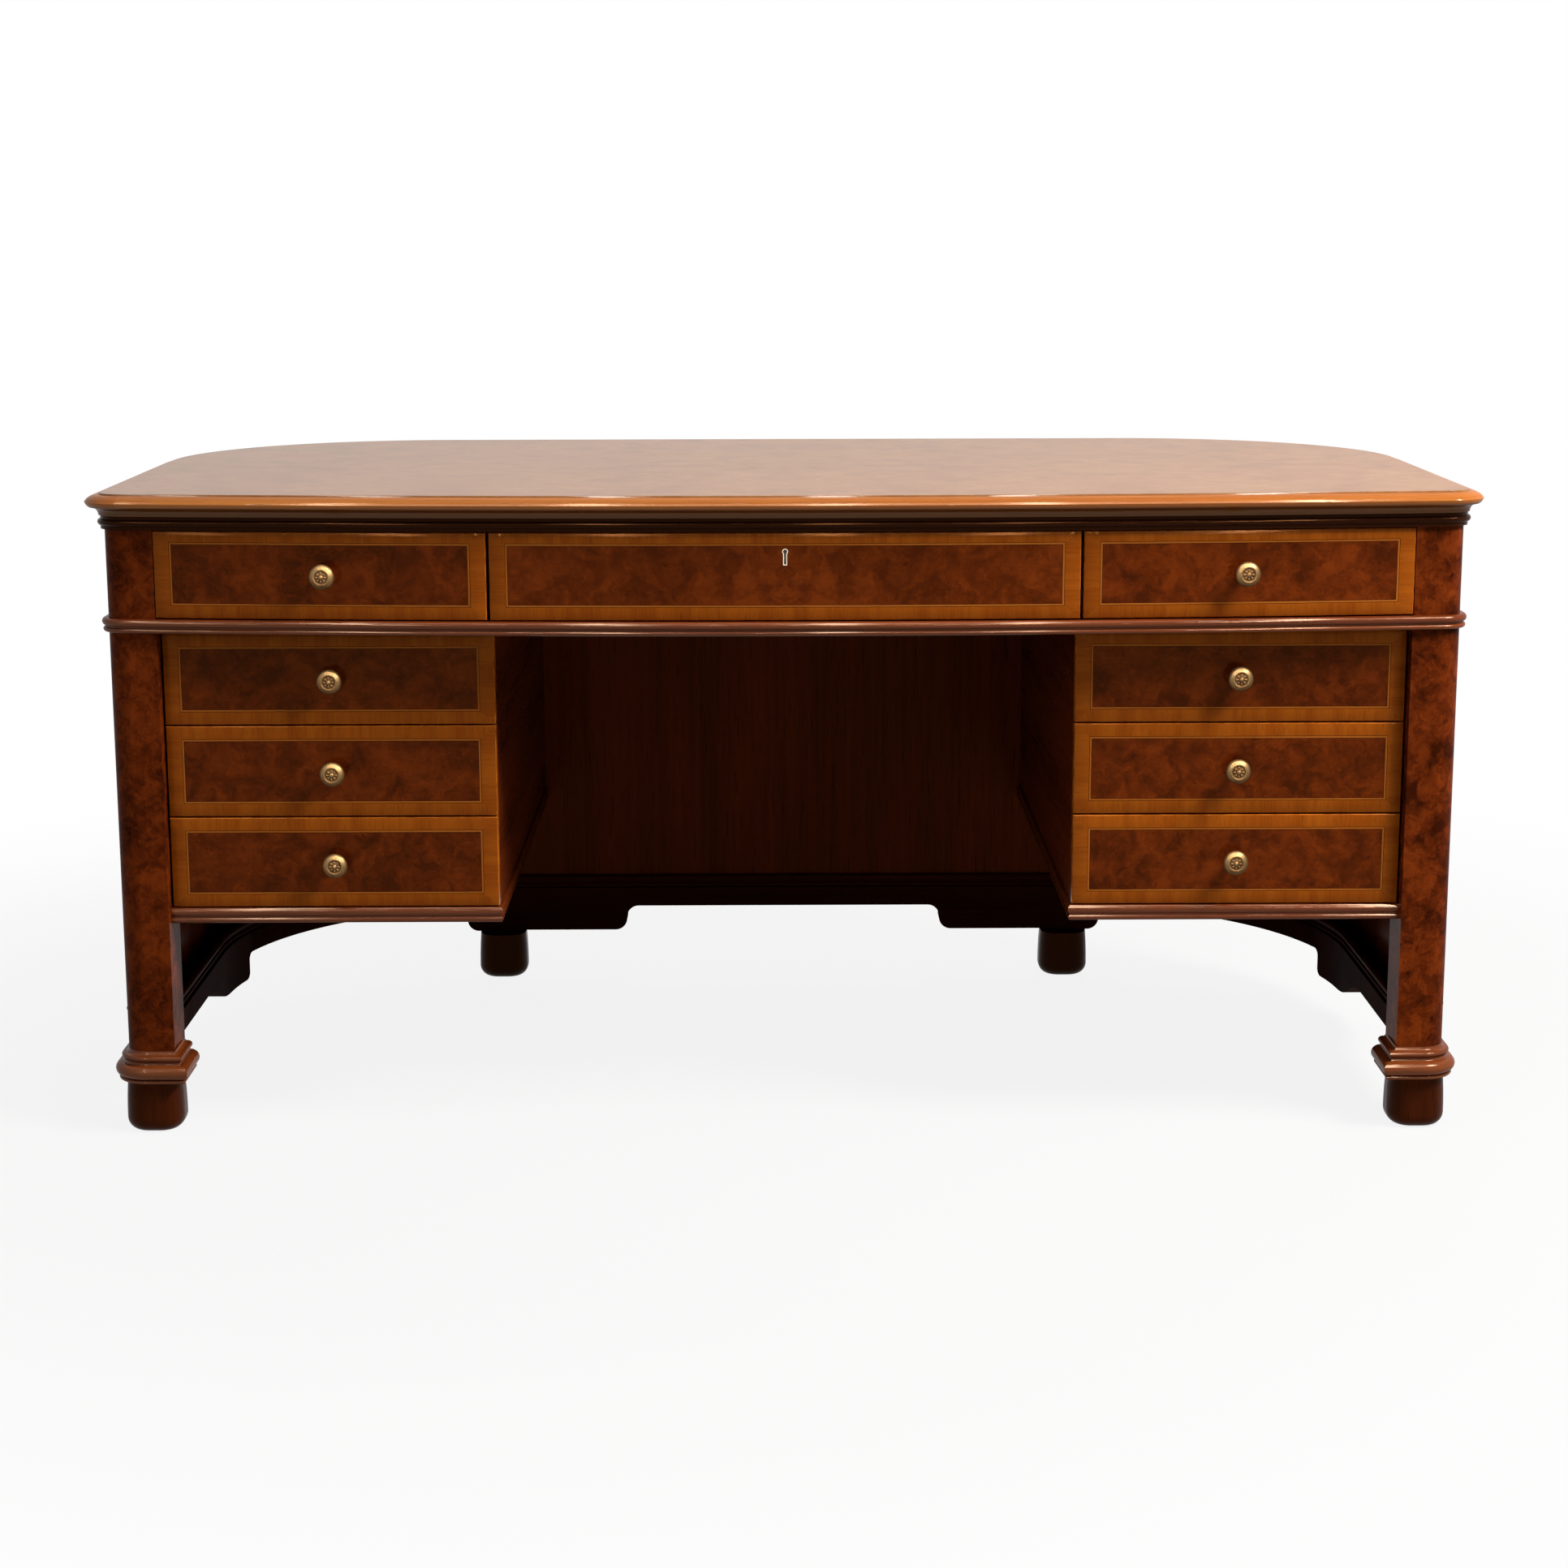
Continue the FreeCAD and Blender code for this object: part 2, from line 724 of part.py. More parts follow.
def pedestal_bottom():
    """Board under the drawers that fills the case back to its curved wall"""
    z0, z1 = pedestal_bottom_z, pedestal_floor_z
    front = box_between(kneehole_half_width, post_inner_x, pedestal_face_y, post_back_y, z0, z1)
    inner = round_end(wall_inner_x, post_back_y, back_inner_y, rear_radius - back_thickness)
    zone = box_between(kneehole_half_width, half_width, post_back_y, back_y, z0, z1)
    return tidy(front.fuse(plan_prism(inner, z0, z1).common(zone)))


def pedestal_inner_side():
    z0, z1 = pedestal_floor_z, frieze_floor_bottom
    return box_between(kneehole_half_width, inner_side_x, carcass_front_y, back_inner_y, z0, z1)


def pedestal_outer_sides():
    z0, z1 = pedestal_floor_z, frieze_floor_bottom
    y1 = pedestal_back_y + pedestal_back_thickness
    right = box_between(outer_side_x, post_inner_x, carcass_front_y, y1, z0, z1)
    return group([right, mirrored(right)])


def pedestal_backs():
    z0, z1 = pedestal_floor_z, frieze_floor_bottom
    y1 = pedestal_back_y + pedestal_back_thickness
    right = box_between(inner_side_x, outer_side_x, pedestal_back_y, y1, z0, z1)
    return group([right, mirrored(right)])


def pedestal_runners():
    """Two strips under the lowest drawer and a dustboard under each other one"""
    y0, y1 = carcass_front_y, pedestal_back_y
    z1 = pedestal_floor_z + runner_thickness / 2
    inner = box_between(inner_side_x, inner_side_x + runner_strip_width, y0, y1, pedestal_floor_z, z1)
    outer = box_between(outer_side_x - runner_strip_width, outer_side_x, y0, y1, pedestal_floor_z, z1)
    solids = [inner, outer]
    for level in range(1, drawer_levels):
        middle = pedestal_floor_z + level * level_pitch
        z0 = middle - runner_thickness / 2
        solids.append(box_between(inner_side_x, outer_side_x, y0, y1, z0, z0 + runner_thickness))
    return group(solids)


def pedestal_base_moulding():
    """Bead pair along the front and back along the kneehole, mitred between"""
    start, steps = bead_pair(pedestal_bottom_z, pedestal_floor_z, pedestal_bead_reach, 0)
    reach = pedestal_bead_reach
    x0, y0 = kneehole_half_width, pedestal_face_y
    front = along_run(line_run(x0 - reach, y0, post_inner_x, y0), start, steps)
    side = along_run(line_run(x0, back_inner_y, x0, y0 - reach), start, steps)
    z0, z1 = pedestal_bottom_z - cut_overrun, pedestal_floor_z + cut_overrun
    reach_far = reach + cut_overrun
    corner = [V(x0, y0, z0), V(x0 - reach_far, y0 - reach_far, z0)]
    behind = Part.Face(Part.makePolygon(corner + [V(x0 - reach_far, y0, z0), corner[0]])).extrude(UP * (z1 - z0))
    before = Part.Face(Part.makePolygon(corner + [V(x0, y0 - reach_far, z0), corner[0]])).extrude(UP * (z1 - z0))
    return group([front.cut(behind).Solids[0], side.cut(before).Solids[0]])


def level_floor(level):
    return pedestal_floor_z + level * level_pitch


def pedestal_front(level):
    z0 = level_floor(level) + front_gap
    z1 = level_floor(level + 1) - front_gap / 2
    x0, x1 = kneehole_half_width, post_inner_x - post_gap
    front = box_between(x0, x1, pedestal_face_y, pedestal_front_back_y, z0, z1)
    run = line_run(x0 - arris, pedestal_face_y, x1 + arris, pedestal_face_y)
    return softened(front, run, [(x0, -1), (x1, 1)], lambda x: pedestal_face_y, z0, z1)


def pedestal_box(level):
    z0 = level_floor(level) + runner_thickness / 2 + running_clearance
    z1 = level_floor(level + 1) - box_top_clearance
    x0 = inner_side_x + guide_clearance
    x1 = outer_side_x - guide_clearance
    return group(box_solids(x0, x1, pedestal_front_back_y, z0, z1))


# Fittings

def knob(x, y, z):
    """Turned domed head on a neck with its rose, with a ring cut in the dome"""
    rim = knob_diameter / 2
    neck = knob_neck_diameter / 2
    rose = knob_rose_diameter / 2
    ring = knob_ring_diameter / 2
    back_of_head = knob_stand - knob_dome_height - knob_rim_thickness
    rim_top = back_of_head + knob_rim_thickness
    ring_top = knob_stand - knob_dome_height * (1 - nose_share) + knob_ring_depth

    def place(radius, out):
        return V(x + radius, y - out, z)

    def turned(start, steps):
        return closed_face(place, start, steps).revolve(V(x, y, z), V(0, 1, 0), 360)

    stem = turned((0, 0), [
        (rose, 0),
        (rose, knob_rose_thickness),
        (neck, knob_rose_thickness + knob_ring_depth),
        (neck, back_of_head),
        (0, back_of_head),
    ])
    shoulder = back_of_head + knob_ring_depth
    head = turned((0, back_of_head), [
        (rose, back_of_head),
        (rim - knob_ring_depth, shoulder),
        ((rim, (shoulder + rim_top) / 2), (rim - knob_ring_depth, rim_top)),
        ((ring + (rim - ring) * nose_share, (rim_top + ring_top) / 2 + knob_ring_depth), (ring, ring_top)),
        (ring, ring_top - knob_ring_depth),
        (ring - knob_ring_depth, ring_top - knob_ring_depth),
        (ring - knob_ring_depth, ring_top),
        (crown_middle(ring - knob_ring_depth, knob_stand, knob_stand - ring_top), (0, knob_stand)),
    ])
    return group([stem, head])


def frieze_knob(z):
    """Knob set square to the bowed face"""
    y = bow_y(frieze_knob_x, case_inset)
    turn = math.degrees(math.asin(frieze_knob_x / (bow_radius - case_inset)))
    turned = knob(frieze_knob_x, y, z)
    turned.rotate(V(frieze_knob_x, y, z), UP, turn)
    return turned


def crown_middle(radius, top, rise):
    """Middle of the round crown that rises from a radius to a top on the axis"""
    sphere = (radius ** 2 + rise ** 2) / (2 * rise)
    half_turn = math.asin(radius / sphere) / 2
    return sphere * math.sin(half_turn), top - sphere * (1 - math.cos(half_turn))


def keyhole_prism(shrink, y0, y1):
    """Round hole with a leg below it, as deep as asked"""
    z = case_top - keyhole_centre_below_top - keyhole_round_radius
    radius = keyhole_round_radius - shrink
    round_part = Part.makeCylinder(radius, y1 - y0, V(0, y0, z + keyhole_round_radius), V(0, 1, 0))
    half = keyhole_leg_width / 2 - shrink
    low = z + 2 * keyhole_round_radius - keyhole_height + shrink
    leg = box_between(-half, half, y0, y1, low, z + keyhole_round_radius)
    return tidy(round_part.fuse(leg))


def keyhole_lining():
    y0 = bow_y(0, case_inset)
    y1 = y0 + keyhole_lining_depth
    inner = keyhole_prism(keyhole_wall, y0 - cut_overrun, y1 + cut_overrun)
    return keyhole_prism(0, y0, y1).cut(inner).Solids[0]


def middle_front():
    """The middle front with its lined keyhole right through"""
    half = frieze_division_x - frieze_front_parting / 2
    y0 = bow_y(0, case_inset)
    front = frieze_front(-half, half)
    front = front.cut(keyhole_prism(0, y0 - cut_overrun, y0 + keyhole_lining_depth))
    return front.cut(keyhole_prism(keyhole_wall, y0, carcass_front_y)).Solids[0]


def lock_front_y():
    return bow_y(lock_width / 2, case_inset + frieze_front_thickness)


def lock_top():
    return case_top - front_gap - lock_top_drop


def bolt_front_y():
    return lock_front_y() + (lock_depth - bolt_thickness) / 2


def lock_bolt_top():
    return lock_top() - bolt_drop


def lock_body():
    """Lock case with the pocket in which its bolt rises"""
    half = lock_width / 2
    y0 = lock_front_y()
    case = box_between(-half, half, y0, y0 + lock_depth, lock_top() - lock_height, lock_top())
    room = bolt_width / 2 + bolt_clearance
    low = lock_bolt_top() - bolt_height - bolt_clearance
    y1 = bolt_front_y() - bolt_clearance
    y2 = bolt_front_y() + bolt_thickness + bolt_clearance
    return case.cut(box_between(-room, room, y1, y2, low, lock_top() + cut_overrun))


def lock_bolt():
    half = bolt_width / 2
    y0 = bolt_front_y()
    top = lock_bolt_top()
    return box_between(-half, half, y0, y0 + bolt_thickness, top - bolt_height, top)


def build():
    case_runs = whole_outline(case_inset)
    nodes = {
        "top_panel": top_panel(),
        "top_lipping": mouldings(whole_outline(0), lip_profile(), ALL_ROUND),
        "sub_top": sub_top(),
        "sub_top_bead": mouldings(case_runs, sub_bead_profile(), ALL_ROUND),
        "frieze_moulding": mouldings(
            case_runs, bead_pair(frieze_floor_bottom, frieze_floor_top, frieze_bead_reach, 0), ALL_ROUND),
        "frieze_floor": frieze_floor(),
        "frieze_dividers": frieze_dividers(),
        "frieze_back": frieze_back(),
        "foot_collars": group([foot_collar(), mirrored(foot_collar())]),
        "front_feet": group([front_foot(), mirrored(front_foot())]),
        "rear_feet": group([rear_foot(), mirrored(rear_foot())]),
        "back_panel": back_panel(),
        "plinth": plinth(),
        "base_mouldings": base_mouldings(),
        "pedestal_outer_sides": pedestal_outer_sides(),
        "pedestal_backs": pedestal_backs(),
        "frieze_front_middle": middle_front(),
        "keyhole_lining": keyhole_lining(),
        "lock_case": lock_body(),
        "lock_bolt": lock_bolt(),
    }
    pairs = {
        "post": post(),
        "end_panel": end_panel(),
        "rear_corner": rear_corner(),
        "pedestal_bottom": pedestal_bottom(),
        "pedestal_inner_side": pedestal_inner_side(),
        "pedestal_runners": pedestal_runners(),
        "pedestal_base_moulding": pedestal_base_moulding(),
    }
    half_parting = frieze_front_parting / 2
    pairs["frieze_front"] = frieze_front(frieze_division_x + half_parting, post_inner_x - overlay_gap)
    divider_half = divider_thickness / 2
    middle_half = frieze_division_x - divider_half - guide_clearance
    nodes["frieze_box_middle"] = frieze_box(-middle_half, middle_half)
    pairs["frieze_box"] = frieze_box(
        frieze_division_x + divider_half + guide_clearance, outer_side_x - guide_clearance)
    frieze_z = (frieze_floor_top + case_top) / 2 + knob_rise
    pairs["frieze_knob"] = frieze_knob(frieze_z)
    for level, name in enumerate(("lower", "centre", "upper")):
        pairs["drawer_front_" + name] = pedestal_front(level)
        pairs["drawer_box_" + name] = pedestal_box(level)
        z = (level_floor(level) + level_floor(level + 1)) / 2
        pairs["knob_" + name] = knob(pedestal_knob_x, pedestal_face_y, z)
    for name, shape in pairs.items():
        nodes[name + "_right"] = shape
        nodes[name + "_left"] = mirrored(shape)
    return nodes


def main():
    os.makedirs("parts", exist_ok=True)
    for name, shape in build().items():
        shape.exportStep(os.path.join("parts", name + ".step"))


main()
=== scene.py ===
import math

import bmesh
import bpy
from mathutils import Matrix, Vector


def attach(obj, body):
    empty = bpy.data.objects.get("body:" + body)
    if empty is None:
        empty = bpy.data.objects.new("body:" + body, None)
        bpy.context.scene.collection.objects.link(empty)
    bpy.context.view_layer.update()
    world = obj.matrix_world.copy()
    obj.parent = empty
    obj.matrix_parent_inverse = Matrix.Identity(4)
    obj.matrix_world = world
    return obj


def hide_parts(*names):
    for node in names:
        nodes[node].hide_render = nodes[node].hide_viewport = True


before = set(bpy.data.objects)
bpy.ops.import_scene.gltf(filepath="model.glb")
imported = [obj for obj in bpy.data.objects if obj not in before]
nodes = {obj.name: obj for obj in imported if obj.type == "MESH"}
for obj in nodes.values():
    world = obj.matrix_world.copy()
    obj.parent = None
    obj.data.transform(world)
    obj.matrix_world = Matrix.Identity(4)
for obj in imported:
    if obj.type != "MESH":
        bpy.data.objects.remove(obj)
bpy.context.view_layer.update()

# Sizes of the desk in metres, in the frame of the CAD

half_width = 0.808
front_y = -0.415
back_y = 0.415
front_corner = 0.033
rear_corner = 0.330
bow_rise = 0.038
case_inset = 0.005
top_z = 0.780
lipping_low = 0.754
lipping_high = 0.778
nose_reach = 0.017
case_top = 0.738
frieze_floor_bottom = 0.616
frieze_floor_top = 0.6325
half_chord = half_width - front_corner
bow_radius = (half_chord ** 2 + bow_rise ** 2) / (2 * bow_rise)
bow_centre_y = front_y + bow_radius
corner_y = bow_centre_y - math.sqrt((bow_radius - front_corner) ** 2 - half_chord ** 2)
case_half = half_width - case_inset
rear_x = half_width - rear_corner
rear_y = back_y - rear_corner
post_side = 0.061
post_inner_x = 0.742
post_front_y = corner_y - (front_corner - case_inset)
post_back_y = post_front_y + post_side
pedestal_recess = 0.017
pedestal_face_y = post_front_y + pedestal_recess
kneehole_half = 0.346
back_inner_y = 0.392
front_thickness = 0.020
front_gap = 0.0015
pedestal_front_x = (kneehole_half, 0.7395)  # the ends of a front, either side of the middle
frieze_front_x = (0.349, 0.741)
middle_front_half = 0.345
pedestal_levels = {  # low and high edge of the front, height of its knob
    "lower": (0.2795, 0.388917, 0.333833),
    "centre": (0.391167, 0.500583, 0.4455),
    "upper": (0.502833, 0.61225, 0.557167),
}
pedestal_bead_z = (0.260, 0.278)
pedestal_knob_x = 0.540
frieze_knob_x, frieze_knob_z = 0.5375, 0.6865
keyhole_radius, keyhole_half_leg = 0.00335, 0.00225
keyhole_z, keyhole_low = case_top - 0.0235, case_top - 0.0394
SIDES = (("left", -1), ("right", 1))


def bow_y(x):
    """Depth of the bowed fronts' face at a place across the desk"""
    return bow_centre_y - math.sqrt((bow_radius - case_inset) ** 2 - x ** 2)


def new_object(name, data):
    made = bpy.data.objects.new(name, data)
    bpy.context.scene.collection.objects.link(made)
    return made


# Camera, lamps, world and floor

def add_camera():
    """The photograph's camera, as fitted to the edges of the desk"""
    data = bpy.data.cameras.new("camera")
    data.sensor_width = 36
    data.lens = 67.05
    data.clip_end = 60
    camera = new_object("camera", data)
    right = Vector((0.999984, -0.00513029, -0.00238298))
    down = Vector((-0.00333738, -0.1949347, -0.98081055))
    ahead = Vector((0.00456731, 0.98080281, -0.1949487))
    turn = Matrix((right, -down, -ahead)).transposed()
    camera.matrix_world = Matrix.Translation((-0.0177, -3.7906, 1.1112)) @ turn.to_4x4()
    bpy.context.scene.camera = camera


def add_lamp(name, place, target, width, height, watts, colour=(1, 1, 1)):
    data = bpy.data.lights.new(name, "AREA")
    data.shape = "RECTANGLE"
    data.size = width
    data.size_y = height
    data.energy = watts
    data.color = colour
    lamp = new_object(name, data)
    lamp.location = place
    lamp.rotation_euler = (Vector(target) - Vector(place)).to_track_quat("-Z", "Y").to_euler()
    lamp.visible_camera = False
    return lamp


def backdrop_seen(tree):
    """One where a camera, glossy or transmission ray looks, nought for the light that falls on the desk"""
    path = tree.nodes.new("ShaderNodeLightPath").outputs
    seen = maths(tree, "MAXIMUM", path["Is Camera Ray"], path["Is Glossy Ray"])
    return maths(tree, "MAXIMUM", seen, path["Is Transmission Ray"])


WARM_WHITE = (1.0, 0.97, 0.93)
STRIP_WHITE = (1.0, 0.95, 0.88)
strip_watts = {-1.62: 16, -1.06: 30, -0.44: 34, 0.13: 36, 0.605: 36, 1.27: 60}  # by the strip's x


def light_studio():
    """Soft lamps, and strips whose glints run along the beads and the lipping"""
    add_lamp("soft_key", (2.2, -1.35, 2.75), (0.1, -0.35, 0.5), 1.2, 1.0, 185, WARM_WHITE)
    add_lamp("soft_fill", (-2.6, -3.2, 1.9), (0, -0.3, 0.4), 1.6, 1.2, 6)
    rear = add_lamp("rear_fill", (0.4, 3.4, 2.4), (0, 0.3, 0.4), 2.4, 1.0, 60)
    rear.visible_glossy = False
    add_lamp("ceiling_fill", (0.2, -1.1, 3.0), (0.1, -0.3, 0.7), 2.4, 0.7, 24)
    for x, watts in strip_watts.items():
        strip = add_lamp("tall_strip", (x, -1.75, 2.28), (x, -0.40, 0.65), 0.11, 3.0, watts, STRIP_WHITE)
        strip.visible_diffuse = False
    world = bpy.data.worlds.new("studio")
    bpy.context.scene.world = world
    world.use_nodes = True
    tree = world.node_tree
    tree.nodes.clear()
    strength = add(tree, "ShaderNodeMapRange", {
        "Value": backdrop_seen(tree), "To Min": 0.25, "To Max": 1.0}).outputs["Result"]
    sky = add(tree, "ShaderNodeBackground", {"Color": (1, 1, 1, 1), "Strength": strength})
    add(tree, "ShaderNodeOutputWorld", {"Surface": sky.outputs[0]})
    bpy.context.scene.view_settings.view_transform = "Standard"


# Node helpers

def srgb(red, green, blue):
    """Colour of 0 to 255 a channel, made linear"""
    def linear(c):
        return c / 255 / 12.92 if c <= 10 else ((c / 255 + 0.055) / 1.055) ** 2.4

    return linear(red), linear(green), linear(blue), 1


def put(tree, socket, value):
    """Feeds a socket from another socket or with a value"""
    if isinstance(value, bpy.types.NodeSocket):
        tree.links.new(value, socket)
    elif value is not None:
        socket.default_value = value


def feed(tree, node, inputs):
    for name, value in inputs.items():
        put(tree, node.inputs[name], value)


def add(tree, kind, inputs=None, **settings):
    made = tree.nodes.new(kind)
    for name, value in settings.items():
        setattr(made, name, value)
    feed(tree, made, inputs or {})
    return made


def maths(tree, operation, a, b=None, c=None):
    return add(tree, "ShaderNodeMath", {0: a, 1: b, 2: c}, operation=operation).outputs[0]


def times(tree, a, b):
    return maths(tree, "MULTIPLY", a, b)


def vectors(tree, operation, a, b):
    """Vector result of two vectors, or of a vector and a number where the operation is SCALE"""
    second = "Scale" if operation == "SCALE" else 1
    return add(tree, "ShaderNodeVectorMath", {0: a, second: b}, operation=operation).outputs[0]


def noise(tree, place, scale, detail, rough=0.55, warp=0.0):
    return add(tree, "ShaderNodeTexNoise", {
        "Vector": place, "Scale": scale, "Detail": detail, "Roughness": rough, "Distortion": warp}).outputs


def between(tree, value, low, high, to_low=0.0, to_high=1.0):
    return add(tree, "ShaderNodeMapRange", {
        "Value": value, "From Min": low, "From Max": high, "To Min": to_low, "To Max": to_high},
        interpolation_type="SMOOTHSTEP").outputs["Result"]


def blended(tree, share, a, b):
    return add(tree, "ShaderNodeMix", {0: share, 6: a, 7: b}, data_type="RGBA").outputs[2]


def washed(tree, colour, mask, share, other):
    """Colour with a share of another laid on where a mask is"""
    return blended(tree, times(tree, mask, share), colour, srgb(*other))


def surface_of(tree):
    out = next(node for node in tree.nodes if node.bl_idname == "ShaderNodeOutputMaterial")
    return out.inputs["Surface"]


def bumped(tree, height, strength, distance):
    return add(tree, "ShaderNodeBump", {
        "Height": height, "Strength": strength, "Distance": distance}).outputs[0]


def split(tree, vector):
    return add(tree, "ShaderNodeSeparateXYZ", {"Vector": vector}).outputs


def joined(tree, **parts):
    return add(tree, "ShaderNodeCombineXYZ", parts).outputs[0]


def new_group(name, inputs, outputs, tree_type="ShaderNodeTree"):
    """Group with sockets of a label and a kind, and its own input and output sockets"""
    group = bpy.data.node_groups.new(name, tree_type)
    for label, kind, default in inputs:
        made = group.interface.new_socket(label, in_out="INPUT", socket_type="NodeSocket" + kind)
        if default is not None:
            made.default_value = default
    for label, kind in outputs:
        group.interface.new_socket(label, in_out="OUTPUT", socket_type="NodeSocket" + kind)
    return group, group.nodes.new("NodeGroupInput").outputs, group.nodes.new("NodeGroupOutput").inputs


def grain_group():
    """Straight grain: streaks and pores that run along X"""
    group, given, out = new_group("straight_grain", [
        ("Vector", "Vector", None), ("Along", "Float", 3.0), ("Across", "Float", 160.0),
        ("Wander", "Float", 0.004),
    ], [("Streak", "Float"), ("Pore", "Float"), ("Band", "Float")])
    place = given["Vector"]
    drift = vectors(group, "SUBTRACT", noise(group, place, 5.0, 2.0)["Color"], (0.5, 0.5, 0.5))
    place = vectors(group, "ADD", place, vectors(group, "SCALE", drift, given["Wander"]))
    across = given["Across"]
    fine = vectors(group, "MULTIPLY", place, joined(group, X=given["Along"], Y=across, Z=across))
    streak = noise(group, fine, 1.0, 5.0, 0.6, 0.3)["Fac"]
    pore_place = vectors(group, "MULTIPLY", fine, (7.0, 4.0, 4.0))
    pore = between(group, noise(group, pore_place, 1.0, 2.0, 0.5)["Fac"], 0.60, 0.70)
    band_place = vectors(group, "MULTIPLY", fine, (0.5, 0.12, 0.12))
    band = noise(group, band_place, 1.0, 3.0, 0.5)["Fac"]
    put(group, out["Streak"], between(group, streak, 0.30, 0.70))
    put(group, out["Pore"], pore)
    put(group, out["Band"], between(group, band, 0.35, 0.65))
    return group


def burl_group():
    """Burl: close curling mottle, clouds of dark and light, and small eyes"""
    group, given, out = new_group("burl_figure", [
        ("Vector", "Vector", None), ("Size", "Float", 0.03), ("Curl", "Float", 0.9),
    ], [("Tone", "Float"), ("Eye", "Float")])
    place = vectors(group, "SCALE", given["Vector"], maths(group, "DIVIDE", 1.0, given["Size"]))
    drift = vectors(group, "SUBTRACT", noise(group, place, 0.8, 4.0, 0.6)["Color"], (0.5, 0.5, 0.5))
    pull = times(group, given["Curl"], 2.0)
    curled = vectors(group, "ADD", place, vectors(group, "SCALE", drift, pull))
    mottle = between(group, noise(group, curled, 1.1, 8.0, 0.68)["Fac"], 0.28, 0.72)
    cloud = between(group, noise(group, place, 0.32, 3.0, 0.5, 0.6)["Fac"], 0.34, 0.66)
    turns = times(group, noise(group, curled, 0.36, 3.0, 0.5)["Fac"], 60.0)
    lines = maths(group, "SINE", turns)
    cells = add(group, "ShaderNodeTexVoronoi", {"Vector": curled, "Scale": 2.3, "Randomness": 1.0})
    eye = between(group, cells.outputs["Distance"], 0.04, 0.16, 1.0, 0.0)
    patch = between(group, noise(group, place, 0.5, 1.0)["Fac"], 0.48, 0.60)
    mixed = maths(group, "MULTIPLY_ADD", cloud, 0.30, times(group, mottle, 0.70))
    put(group, out["Tone"], maths(group, "MULTIPLY_ADD", lines, 0.06, mixed))
    put(group, out["Eye"], times(group, eye, patch))
    return group


def polish_group():
    """Old polish: faint waves, hairlines and dull patches"""
    group, given, out = new_group("old_polish", [
        ("Vector", "Vector", None), ("Shine", "Float", 0.10), ("Dull", "Float", 0.10),
    ], [("Roughness", "Float"), ("Waves", "Float"), ("Hairlines", "Float")])
    place = given["Vector"]
    patch = between(group, noise(group, place, 9.0, 4.0, 0.6)["Fac"], 0.42, 0.78)
    hair_place = vectors(group, "MULTIPLY", place, (30.0, 520.0, 380.0))
    hair = between(group, noise(group, hair_place, 1.0, 1.0)["Fac"], 0.66, 0.72)
    rough = maths(group, "MULTIPLY_ADD", patch, given["Dull"], given["Shine"])
    put(group, out["Roughness"], maths(group, "MULTIPLY_ADD", hair, 0.04, rough))
    put(group, out["Waves"], noise(group, place, 28.0, 2.0, 0.4)["Fac"])
    put(group, out["Hairlines"], hair)
    return group


def wear_group():
    """Colour rubbed lighter along the edges that the piece's edge attribute marks"""
    group, given, out = new_group("rubbed_edges", [
        ("Color", "Color", None), ("Rubbed", "Color", None), ("Edge", "Float", 0.0),
        ("Vector", "Vector", None),
    ], [("Color", "Color")])
    broken = between(group, noise(group, given["Vector"], 60.0, 5.0, 0.6)["Fac"], 0.38, 0.62)
    share = times(group, times(group, given["Edge"], broken), 0.7)
    put(group, out["Color"], blended(group, share, given["Color"], given["Rubbed"]))
    return group


groups = {}


def use(tree, name, inputs):
    return add(tree, "ShaderNodeGroup", inputs, node_tree=groups[name]).outputs


def new_material(name):
    material = bpy.data.materials.new(name)
    material.use_nodes = True
    tree = material.node_tree
    tree.nodes.clear()
    shader = tree.nodes.new("ShaderNodeBsdfPrincipled")
    add(tree, "ShaderNodeOutputMaterial", {"Surface": shader.outputs[0]})
    return material, tree, shader


def placed(tree, source, turn=(0, 0, 0)):
    """Coordinates of a piece, in metres, with the grain turned to run along X"""
    coords = add(tree, "ShaderNodeTexCoord")
    angles = tuple(math.radians(a) for a in turn)
    return add(tree, "ShaderNodeMapping", {"Vector": coords.outputs[source], "Rotation": angles}).outputs[0]


TINTED = (1.0, 0.40, 0.14, 1)
WARM = (1.0, 0.72, 0.50, 1)
CLEAR = (1.0, 1.0, 1.0, 1)


def french_polish(tree, shader, place, height, shine, level, tint):
    """Thin gloss over the wood, with its waves, hairlines and dull patches"""
    polish = use(tree, "old_polish", {"Vector": place, "Shine": shine, "Dull": 0.06})
    waves = maths(tree, "MULTIPLY_ADD", polish["Waves"], 0.5, height)
    feed(tree, shader, {"Roughness": polish["Roughness"], "Normal": bumped(tree, waves, 0.10, 0.0006),
                        "Specular IOR Level": level, "Specular Tint": tint})


def dulled(tree, shader, colour, matt):
    """Share of the polish that has gone matt"""
    dull = add(tree, "ShaderNodeBsdfPrincipled", {
        "Base Color": colour, "Roughness": 0.5, "Specular IOR Level": 0.0})
    both = add(tree, "ShaderNodeMixShader", {0: matt, 1: shader.outputs[0], 2: dull.outputs[0]})
    put(tree, surface_of(tree), both.outputs[0])


